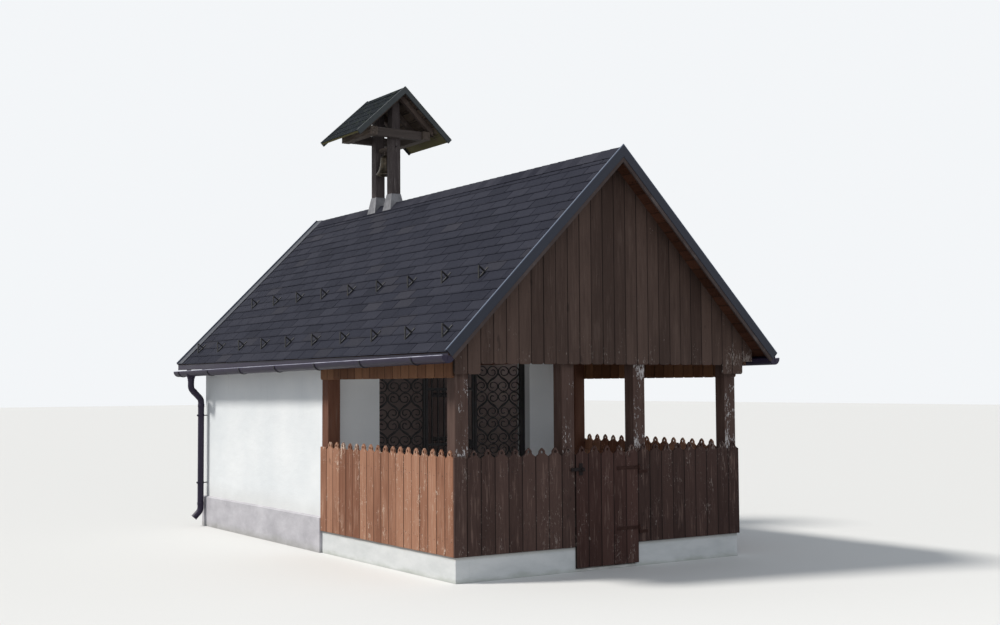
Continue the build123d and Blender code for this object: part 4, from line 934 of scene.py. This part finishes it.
def half_heart():
    """One bar on a plane along X and Z: from the heart's point round its lobe into the curl."""
    spine = [(scroll_pitch / 2, heart_point),
             (lobe_across * 0.35, (heart_point + lobe_upright) / 2 - scroll_bar)]
    for degrees, share in scroll_turns:
        angle = math.radians(degrees)
        spine.append((lobe_across * share * math.cos(angle), lobe_upright * share * math.sin(angle)))
    deselect()
    bpy.ops.curve.primitive_bezier_curve_add(location=(0, 0, 0))
    curve = bpy.context.object.data
    curve.dimensions = "2D"
    curve.fill_mode = "NONE"
    curve.extrude = (scroll_high.y - scroll_low.y) / 2
    curve.resolution_u = 5
    curve.splines.clear()
    spline = curve.splines.new("BEZIER")
    spline.bezier_points.add(len(spine) - 1)
    for point, (x, z) in zip(spline.bezier_points, spine):
        point.co = (x, z, 0)
        point.handle_left_type = "AUTO"
        point.handle_right_type = "AUTO"
    bpy.ops.object.convert(target="MESH")
    bar = modified(bpy.context.object, "SOLIDIFY", thickness=scroll_bar, offset=0, use_even_offset=True)
    return moved(softened(bar, 0.0018), (0, (scroll_low.y + scroll_high.y) / 2, 0), (90, 0, 0))


half = half_heart()
panels = []
for start in panel_starts:
    bars = []
    for row, height in enumerate(row_heights):
        paired = row % 4 in (0, 3)
        for column in range(scroll_columns):
            hand = 1 if (column % 2 == 0) == paired else -1
            bars.append(copied(half, (hand, 1, 1 if row % 2 == 1 else -1),
                               (start + (column + 0.5) * scroll_pitch, 0, height)))
    panel = joined(bars)
    cut(panel, (start, 0, 0), (-1, 0, 0))
    cut(panel, (start + scroll_columns * scroll_pitch, 0, 0), (1, 0, 0))
    cut(panel, (0, 0, scroll_foot), (0, 0, -1))
    panels.append(cut(panel, (0, 0, scroll_head), (0, 0, 1)))
bpy.data.objects.remove(half)
finished(joined(panels), "scroll_panels", grille_iron, "iron", "grille_scrolls", smooth=35)

collar = block((-0.0115, scroll_low.y - 0.0025, -0.0085), (0.0115, scroll_high.y + 0.0025, 0.0085), 0.0025)
link = block((-0.0095, scroll_low.y - 0.001, -0.0095), (0.0095, scroll_high.y + 0.001, 0.0095), 0.002)
moved(link, turn=(0, 45, 0))
moved(link, size=(1, 1, 1.22))
details = []
for start in panel_starts:
    for i, height in enumerate(row_heights):
        for column in range(1, scroll_columns):
            details.append(copied(collar, offset=(start + column * scroll_pitch, 0, height)))
        if i % 2 == 1 and i < scroll_rows - 1:
            between_rows = (height + row_heights[i + 1]) / 2
            for column in range(scroll_columns):
                details.append(copied(link, offset=(start + (column + 0.5) * scroll_pitch, 0, between_rows)))
for pattern in (collar, link):
    bpy.data.objects.remove(pattern)
finished(joined(details), "scroll_collars", grille_iron, "iron", smooth=35)

# Between the leaf's bars small curls are forged to the rails, and a box lock closes it.
leaf_middle = -0.034
leaf_pitch = 0.078
leaf_bars = 7
leaf_front = grille_low.y
curl_bar = 0.0065
curl_start = -0.022
curl_depth = -0.052
curl = block((curl_start, leaf_front + 0.005, curl_depth), (curl_start + curl_bar, leaf_front + 0.015, 0.0))
pick(curl, "FACE", lambda middle, facing: facing.z < -0.9)
for centre_x, angle in ((-0.0045, 180), (-0.0085, 170), (-0.0065, 150)):
    bpy.ops.mesh.spin(steps=7, angle=math.radians(angle), center=(centre_x, 0, curl_depth), axis=(0, -1, 0))
outward(curl)
pair = both(curl)
curls = []
for i in range(leaf_bars - 1):
    x = leaf_middle + (i - (leaf_bars - 2) / 2) * leaf_pitch
    curls.append(copied(pair, offset=(x, 0, 1.662)))
    curls.append(copied(pair, (1, 1, -1), offset=(x, 0, 1.076)))
bpy.data.objects.remove(pair)
finished(joined(curls), "grille_leaf_curls", grille_iron, "iron", body="grille_gate", smooth=35)

lock_x = 0.226
lock_foot, lock_head = 1.010, 1.110
lock_half = 0.036
lock = block((lock_x - lock_half, leaf_front - 0.004, lock_foot),
             (lock_x + lock_half, leaf_front + 0.024, lock_head), 0.003, 2)
pick(lock, "FACE", lambda middle, facing: facing.y < -0.9 and abs(middle.z - 1.06) < 0.01)
bpy.ops.mesh.inset(thickness=0.008, depth=-0.002)
ring = form(bpy.ops.mesh.primitive_torus_add, (lock_x, leaf_front - 0.014, 1.035), (math.pi / 2, 0, 0),
            major_segments=20, minor_segments=8, major_radius=0.022, minor_radius=0.004)
stud = form(bpy.ops.mesh.primitive_cylinder_add, (lock_x, leaf_front - 0.010, 1.057), (math.pi / 2, 0, 0),
            vertices=14, radius=0.006, depth=0.016)
finished(joined([lock, ring, softened(stud, 0.0015, 2)]), "grille_lock", grille_iron, "iron",
         body="grille_gate", smooth=35)


# Half-round gutters of coated sheet hang under the eaves in straps. Each has a rolled
# lip, closed ends and soldered joints, and falls towards the rear.
gutter_low, gutter_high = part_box("gutter_left")
gutter_line = (gutter_low.x + gutter_high.x) / 2
gutter_radius = (gutter_high.x - gutter_low.x) / 2
gutter_fall = 0.061
gutter_length = math.hypot(gutter_high.y - gutter_low.y, gutter_fall)
gutter_turn = (-math.degrees(math.asin(gutter_fall / gutter_length)), 0, 0)
gutter_place = (gutter_line, gutter_low.y, gutter_high.z)
gutter_sheet = 0.0016
lip = 0.007
plum = two_tone("plum_coated_sheet", 0.35, (0.35, (0.017, 0.012, 0.030)), (0.7, (0.030, 0.022, 0.046)),
                blot=(0.02, (1, 1, 3), 4.0, 5.0, 0.62, 0.75, 0.3, (0.10, 0.095, 0.10)), rough=(0.3, 0.28),
                roughness=0.40, Specular_IOR_Level=0.28)


def rod(radius, start, length, x=0, vertices=14, ends="NGON"):
    """A round rod along Y, or a tube without ends."""
    return form(bpy.ops.mesh.primitive_cylinder_add, (x, start + length / 2, 0), (math.pi / 2, 0, 0),
                vertices=vertices, radius=radius, depth=length, end_fill_type=ends)


def trough(radius, start, length, thickness):
    """A half tube along Y with its rim at z 0."""
    shell = cut(rod(radius, start, length, vertices=40, ends="NOTHING"), (0, 0, 0), (0, 0, 1), fill=False)
    return modified(shell, "SOLIDIFY", thickness=thickness, offset=-1)


parts = [trough(gutter_radius, 0, gutter_length, gutter_sheet)]
for share in (0.25, 0.5, 0.75):
    parts.append(trough(gutter_radius + 0.0008, share * gutter_length - 0.018, 0.036, 0.0018))
for start in (0.0, gutter_length - 0.003):
    parts.append(cut(rod(gutter_radius - 0.0008, start, 0.003, vertices=40), (0, 0, 0), (0, 0, 1)))
gutter = moved(joined(parts), gutter_place, gutter_turn)
finished_sides(gutter, "eave_gutter_", plum, "gutter_metal", "gutter_", smooth=35)

# The rolled lips are given a pale blue-grey sheet: a painted highlight along each gutter's lip.
lip_highlight = two_tone("lip_sheet_painted_highlight", 0.25, (0.4, (0.16, 0.16, 0.23)), (0.65, (0.36, 0.365, 0.44)),
                 roughness=0.35)
bead = softened(rod(lip, 0, gutter_length, lip - gutter_radius), 0.001)
moved(bead, gutter_place, gutter_turn)
finished(both(bead), "gutter_lips", lip_highlight, "gutter_metal", smooth=35)
coat(two_tone("dark_strap_metal", 0.03, (0.4, (0.006, 0.005, 0.009)), (0.7, (0.014, 0.012, 0.018)),
              roughness=0.6), "gutter_brackets", arris=0.0008)

# A drip sheet under the lowest course hangs over the ends of the roof boards into the
# gutter, with its foot kicked out.
drip_x = deck_low.x - 0.0045
drip_foot = deck_low.z - 0.040
drip_front, drip_rear = roof_front + 0.004, roof_rear - 0.004
drip = block((drip_x, drip_front, drip_foot),
             (drip_x + gutter_sheet, drip_rear, shingle_low.z + 0.002), 0.0004)
kick = block((drip_x - 0.006, drip_front, drip_foot - 0.0025), (drip_x + gutter_sheet, drip_rear, drip_foot),
             0.0008)
finished(both(joined([drip, kick])), "drip_sheets", plum, "gutter_metal")


# A pipe at the rear corner leads from each gutter's funnel in to the wall, down it in
# two clamps, and out through a shoe at the foot.
pipe_radius = 0.038
pipe_bend = 0.080
pipe_x, pipe_y = -1.7295, 2.9625
wall_hold = -1.6478
clamp_heights = (0.5325, 1.3625)
outlet = Vector((gutter_line, 2.8565, 1.8440))
elbow = outlet - Vector((0, 0, 0.150))
landing = Vector((pipe_x, pipe_y, outlet.z - 0.285))
foot = Vector((pipe_x, pipe_y, 0.190))
mouth = foot + Vector((-0.075, 0.020, -0.085))


def bent_pipe(corners, radius, reach):
    """A round pipe along straight runs with a smooth bend at each corner."""
    route = [corners[0]]
    for before, corner, after in zip(corners, corners[1:], corners[2:]):
        route += [corner + (before - corner).normalized() * reach, corner,
                  corner + (after - corner).normalized() * reach]
    route.append(corners[-1])
    deselect()
    bpy.ops.curve.primitive_nurbs_path_add(location=(0, 0, 0))
    curve = bpy.context.object.data
    curve.splines.clear()
    spline = curve.splines.new("NURBS")
    spline.points.add(len(route) - 1)
    for point, place in zip(spline.points, route):
        point.co = (*place, 1)
    spline.order_u = 3
    spline.use_endpoint_u = True
    spline.resolution_u = 6
    curve.bevel_depth = radius
    curve.bevel_resolution = 5
    curve.use_fill_caps = False
    bpy.ops.object.convert(target="MESH")
    return bpy.context.object


def collar_at(place, radius, height, direction=(0, 0, 1)):
    """A band round the pipe."""
    turn = Vector(direction).to_track_quat("Z", "Y").to_euler()
    return softened(form(bpy.ops.mesh.primitive_cylinder_add, place, turn, vertices=28, radius=radius,
                         depth=height), 0.0015, 2)


pipe = bent_pipe([outlet + Vector((0, 0, 0.030)), elbow, landing, foot, mouth], pipe_radius, pipe_bend)
modified(pipe, "SOLIDIFY", thickness=gutter_sheet, offset=-1)
funnel = form(bpy.ops.mesh.primitive_cone_add, outlet - Vector((0, 0, 0.004)), vertices=28,
              radius1=pipe_radius, radius2=0.060, depth=0.066, end_fill_type="NOTHING")
modified(funnel, "SOLIDIFY", thickness=gutter_sheet, offset=1)
slant = (landing - elbow).normalized()
pieces = [pipe, funnel, collar_at(outlet - Vector((0, 0, 0.040)), 0.0405, 0.030),
          collar_at(elbow + slant * 0.075, 0.0402, 0.026, slant),
          collar_at(landing - Vector((0, 0, 0.075)), 0.0408, 0.040),
          collar_at(foot + Vector((0, 0, 0.085)), 0.0405, 0.034)]
for height in clamp_heights:
    pieces += [collar_at((pipe_x, pipe_y, height), 0.0412, 0.024),
               block((pipe_x + 0.035, pipe_y - 0.006, height - 0.006),
                     (wall_hold, pipe_y + 0.006, height + 0.006), 0.0015),
               block((pipe_x - 0.052, pipe_y - 0.009, height - 0.011),
                     (pipe_x - 0.038, pipe_y + 0.009, height + 0.011), 0.0015)]
mouth_turn = (mouth - foot).to_track_quat("Z", "Y").to_euler()
pieces.append(form(bpy.ops.mesh.primitive_torus_add, mouth, mouth_turn, major_segments=28,
                   minor_segments=8, major_radius=pipe_radius, minor_radius=0.0035))
finished(both(joined(pieces)), "rain_pipes", plum, "gutter_metal", "downpipes", smooth=35)


# Snow guards are bent from flat bar: a strap nailed up the slope, a stand at its lower
# end and a brace behind.
coat(iron, "snow_guards", arris=0.0008)


# The bell hangs in a turret of squared timbers on the ridge. Its wood has weathered
# grey-violet, and yellow-green growth covers the parts nearest the eaves.
def near_eaves(finish):
    """More growth towards the eaves of the turret's roof."""
    return finish.between(abs(finish.x), 0.30, 0.62)


for node, stain, dark, light, grain, arris, more in (
        ("turret_posts", "turret_post_stain", (0.036, 0.027, 0.027), (0.098, 0.079, 0.077), ALONG_Z, 0.004,
         {"worn": 0.6, "worn_color": (0.18, 0.155, 0.148), "flecks": 0.35,
          "fleck_color": (0.30, 0.28, 0.27)}),
        ("turret_ties", "turret_tie_stain", (0.044, 0.034, 0.030), (0.104, 0.083, 0.075), ALONG_X, 0.004,
         {"worn": 0.7, "worn_color": (0.20, 0.175, 0.16)}),
        ("turret_purlins", "turret_purlin_stain", (0.060, 0.046, 0.038), (0.150, 0.115, 0.092), ALONG_Y,
         0.004, {"worn": 0.4, "growth": near_eaves}),
        ("turret_rafters", "turret_rafter_stain", (0.050, 0.036, 0.030), (0.125, 0.092, 0.076), UP_THE_ROOF,
         0.003, {"worn": 0.3}),
        ("bell_yoke", "headstock_oak", (0.045, 0.034, 0.028), (0.110, 0.085, 0.070), ALONG_Y, 0.004,
         {"worn": 0.3})):
    coat(wood(stain, dark, light, grain, **more), node, arris=arris)

# Its roof is six boards a side under two layers of granuled sheet in courses, with a
# broad painted board over each gable end.
turret_low, turret_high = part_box("turret_roof_left")
turret_pitch = 42.4
turret_lean = math.cos(math.radians(turret_pitch))
turret_slope = -turret_low.x / turret_lean
turret_apex = turret_high.z
turret_cover = 0.009
turret_thickness = 0.032
turret_board_count = 6
turret_board = turret_slope / turret_board_count
turret_boards_wood = wood("turret_board_stain", (0.060, 0.042, 0.032), (0.150, 0.110, 0.082), ALONG_Y,
                          board=turret_board * turret_lean, spread=0.6, seam_shade=0.9, worn=0.3,
                          growth=near_eaves)
board = block((-turret_slope, turret_low.y, -turret_thickness),
              (-turret_slope + turret_board - 0.004, turret_high.y, -turret_cover), 0.003)
repeated(board, turret_board_count, (turret_board, 0, 0))
finished_sides(mitred(board, turret_apex, turret_pitch), "turret_boards_", turret_boards_wood,
               "turret_wood", "turret_roof_")

turret_tab = 0.1667
turret_tab_length = 0.150
turret_courses = 7
mossy = Finish("mossy_granule_sheet", roughness=0.95, Specular_IOR_Level=0.08)
mossy_granule = mossy.noise(0.004, detail=2.0, rough=0.9)
mossy_course = ((turret_slope - abs(mossy.x) / turret_lean) / exposure).floor()
mossy_each = mossy.number(((mossy.y - turret_low.y) / turret_tab).floor(), mossy_course)
mossy_tone = mossy_each * 0.35 + mossy_granule * 0.4 + mossy.noise(0.3) * 0.4
mossy_color = mossy.ramp(mossy_tone, (0.3, (0.0035, 0.0055, 0.0080)), (0.8, (0.012, 0.016, 0.0200)))
lichen = mossy.noise(0.035, detail=6.0, rough=0.7, offset=9.0)
mossy_color = mossy.blotched(mossy_color, lichen, 0.64, 0.68, 0.6, (0.22, 0.23, 0.21))
green = mossy.noise(0.09, detail=5.0, offset=19.0)
mossy_color = mossy.blotched(mossy_color, green, 0.55, 0.68, 0.4, (0.030, 0.042, 0.018))
mossy.shown(mossy_color, height=mossy_granule + lichen * 3, depth=0.002)
turret_tab_slot = 0.006
turret_offset = 0.083
turret_tab_rise = 0.0045
flap_width, flap_foot, flap_top = 0.085, 0.0085, 0.0115
tabs = block((-turret_slope, 0, 0.0004),
             (-turret_slope + turret_tab_length, turret_tab - turret_tab_slot, 0.0046), 0.0008)
repeated(tabs, math.ceil((turret_high.y - turret_low.y) / turret_tab) + 1, (0, turret_tab, 0))
rows = []
for i in range(turret_courses):
    row = copied(tabs, offset=(i * exposure, turret_low.y - (i % 2) * turret_offset, 0))
    low_edge = -turret_slope + i * exposure
    for corner in row.data.vertices:
        corner.co.z += turret_tab_rise * (1 - (corner.co.x - low_edge) / turret_tab_length)
    rows.append(row)
bpy.data.objects.remove(tabs)
cover = ends_cut(joined(rows), turret_low.y, turret_high.y)
layers = [cover, block((-flap_width, turret_low.y, flap_foot), (0, turret_high.y, flap_top))]
for layer in layers:
    mitred(layer, turret_apex - turret_cover / turret_lean, turret_pitch)
finished(both(joined(layers)), "turret_covering", mossy.material, "turret_cover")

verge_paint = Finish("grey_green_verge_paint", roughness=0.6)
chalk = verge_paint.noise(0.02, (8, 1, 8), 5.0)
grime = verge_paint.noise(0.15, offset=6.0)
verge_tone = verge_paint.ramp(chalk * 0.5 + grime * 0.5, (0.35, (0.016, 0.022, 0.025)),
                              (0.7, (0.036, 0.044, 0.047)))
verge_paint.shown(verge_tone, height=chalk)
gable_board_low, gable_board_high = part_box("turret_verges")
verge_lip, verge_face, verge_thick = 0.008, 0.062, 0.020
gable_boards = []
for y in (gable_board_low.y, gable_board_high.y - verge_thick):
    gable_boards += [block((-turret_slope, y, verge_lip - verge_face - 0.004),
                           (0.1, y + verge_thick, verge_lip - 0.004), 0.003, 2),
                     block((-turret_slope - 0.001, y, verge_lip - 0.005),
                           (0.1, y + verge_thick + 0.002, verge_lip - 0.002), 0.001)]
finished(both(mitred(joined(gable_boards), turret_apex, turret_pitch)), "turret_gable_boards",
         verge_paint.material, "turret_wood", "turret_verges")


# Skirts of dull sheet are dressed round the feet of the posts and over the ridge.
lead = two_tone("dull_sheet_skirts", 0.07, (0.3, (0.12, 0.12, 0.132)), (0.7, (0.22, 0.22, 0.235)), 5.0,
                blot=(0.02, (1, 1, 6), 4.0, 3.0, 0.55, 0.72, 0.4, (0.10, 0.095, 0.09)),
                rough=(0.3, 0.35), depth=0.002, roughness=0.5, metallic=0.45)
coat(lead, "turret_flashing", arris=0.002)


# The bell is cast bronze, gone dark, with a thick lip and raised rings. It hangs by
# its stem from the headstock, and its clapper is iron.
bell_low, bell_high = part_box("bell")
bell_middle = (bell_low + bell_high) / 2
bell_mouth = (bell_high.x - bell_low.x) / 2
bell_height = bell_high.z - bell_low.z
bell_wall = 0.009
bell_shape = ((0.030, 0.995), (0.065, 0.945), (0.11, 0.875), (0.17, 0.805), (0.25, 0.735), (0.35, 0.670),
              (0.46, 0.620), (0.58, 0.585), (0.70, 0.560), (0.80, 0.540), (0.86, 0.515), (0.905, 0.470),
              (0.945, 0.390), (0.975, 0.280), (1.0, 0.120))
bronze = two_tone("dark_cast_bronze", 0.04, (0.3, (0.050, 0.040, 0.030)), (0.7, (0.14, 0.110, 0.075)), 5.0,
                  blot=(0.015, (1, 1, 8), 4.0, 5.0, 0.56, 0.72, 0.5, (0.10, 0.15, 0.12)),
                  rough=(0.35, 0.22), depth=0.0008, roughness=0.42, metallic=0.75)

bell = form(bpy.ops.mesh.primitive_circle_add, vertices=56, radius=bell_mouth)
pick(bell, "EDGE")
height, share = 0.0, 1.0
for rise, width in bell_shape:
    bpy.ops.mesh.extrude_region_move(TRANSFORM_OT_translate={"value": (0, 0, (rise - height) * bell_height)})
    bpy.ops.transform.resize(value=(width / share, width / share, 1))
    height, share = rise, width
bpy.ops.mesh.edge_face_add()
outward(bell)
modified(bell, "SOLIDIFY", thickness=bell_wall, offset=-1)
rings = [form(bpy.ops.mesh.primitive_torus_add, (0, 0, rise * bell_height), major_segments=48,
              minor_segments=6, major_radius=radius * bell_mouth, minor_radius=0.0026)
         for rise, radius in ((0.055, 0.962), (0.14, 0.842), (0.66, 0.570), (0.78, 0.546))]
bell = moved(joined([bell] + rings), (bell_middle.x, bell_middle.y, bell_low.z))
finished(bell, "cast_bell", bronze, "bell_metal", "bell", body="bell", smooth=40)
coat(iron, "clapper")


# The camera stands in front and to the left at eye height, as the photograph was taken.
camera_data = bpy.data.cameras.new("photo_camera")
camera_data.sensor_width = 36.0
camera_data.lens = 47.55
camera_data.clip_end = 200.0
camera = bpy.data.objects.new("photo_camera", camera_data)
bpy.context.scene.collection.objects.link(camera)
yaw, tilt, roll = 0.5788, 0.0551, -0.0061
camera.location = (-7.6185, -12.8575, 1.712)
aim = (Matrix.Rotation(-yaw, 3, "Z") @ Matrix.Rotation(math.pi / 2 + tilt, 3, "X")
       @ Matrix.Rotation(roll, 3, "Z"))
camera.rotation_euler = aim.to_euler()
bpy.context.scene.camera = camera


# The chapel stands on a plain pale floor under a pale sky. One large soft lamp lights
# it from the left and a little behind, a broad weak one fills in from the front, and
# two small ones lift the shade in the room and in the porch.
floor = form(bpy.ops.mesh.primitive_plane_add, (0, 30, -0.001), size=160)
floor.name = "floor"
pale_floor = Finish("pale_floor", roughness=0.95)
seen = pale_floor.node("ShaderNodeLightPath", {}, {}, "Is Camera Ray")
floor.data.materials.append(pale_floor.shown(pale_floor.mixed(seen, (0.42, 0.42, 0.42), (0.70, 0.70, 0.69))))

world = bpy.data.worlds.new("studio")
bpy.context.scene.world = world
sky = Graph(world)
sky.tree.nodes.remove(sky.tree.nodes["Background"])
camera_ray, glossy_ray, clear_ray = (sky.node("ShaderNodeLightPath", {}, {}, f"Is {ray} Ray")
                                     for ray in ("Camera", "Glossy", "Transmission"))
seen = camera_ray.worked("MAXIMUM", camera_ray.worked("MAXIMUM", camera_ray, glossy_ray), clear_ray)
blend = sky.node("ShaderNodeMixShader", {}, {
    0: seen,
    1: sky.node("ShaderNodeBackground", {}, {"Color": (0.84, 0.91, 1.0), "Strength": 0.42}),
    2: sky.node("ShaderNodeBackground", {}, {"Color": (0.90, 0.92, 0.94), "Strength": 1.0})})
sky.tree.links.new(blend.socket, sky.tree.nodes["World Output"].inputs["Surface"])


def lamp(name, kind, energy, turn, place=(0, 0, 0), **settings):
    """Hangs a lamp."""
    data = bpy.data.lights.new(name, kind)
    data.energy = energy
    for setting, value in settings.items():
        setattr(data, setting, value)
    light = bpy.data.objects.new(name, data)
    bpy.context.scene.collection.objects.link(light)
    light.location = place
    light.rotation_euler = turn


lamp("key", "SUN", 3.4, (math.radians(43), 0, math.radians(-116)), angle=math.radians(10),
     color=(1.0, 0.965, 0.91))
for name, energy, length, width, color, place, target in (
        ("fill", 260.0, 9.0, 5.0, (0.93, 0.96, 1.0), (-4.5, -13.0, 5.6), (0, -2.0, 1.4)),
        ("room", 5.0, 1.8, 0.5, (1, 1, 1), (0, 0.35, 2.35), (0, 2.6, 1.1)),
        ("porch", 7.0, 1.6, 0.4, (1, 1, 1), (-0.5, -2.3, 2.15), (-1.2, -0.4, 1.1))):
    turn = (Vector(target) - Vector(place)).to_track_quat("-Z", "Y").to_euler()
    lamp(name, "AREA", energy, turn, place, shape="RECTANGLE", size=length, size_y=width, color=color)

bpy.context.scene.view_settings.view_transform = "Standard"
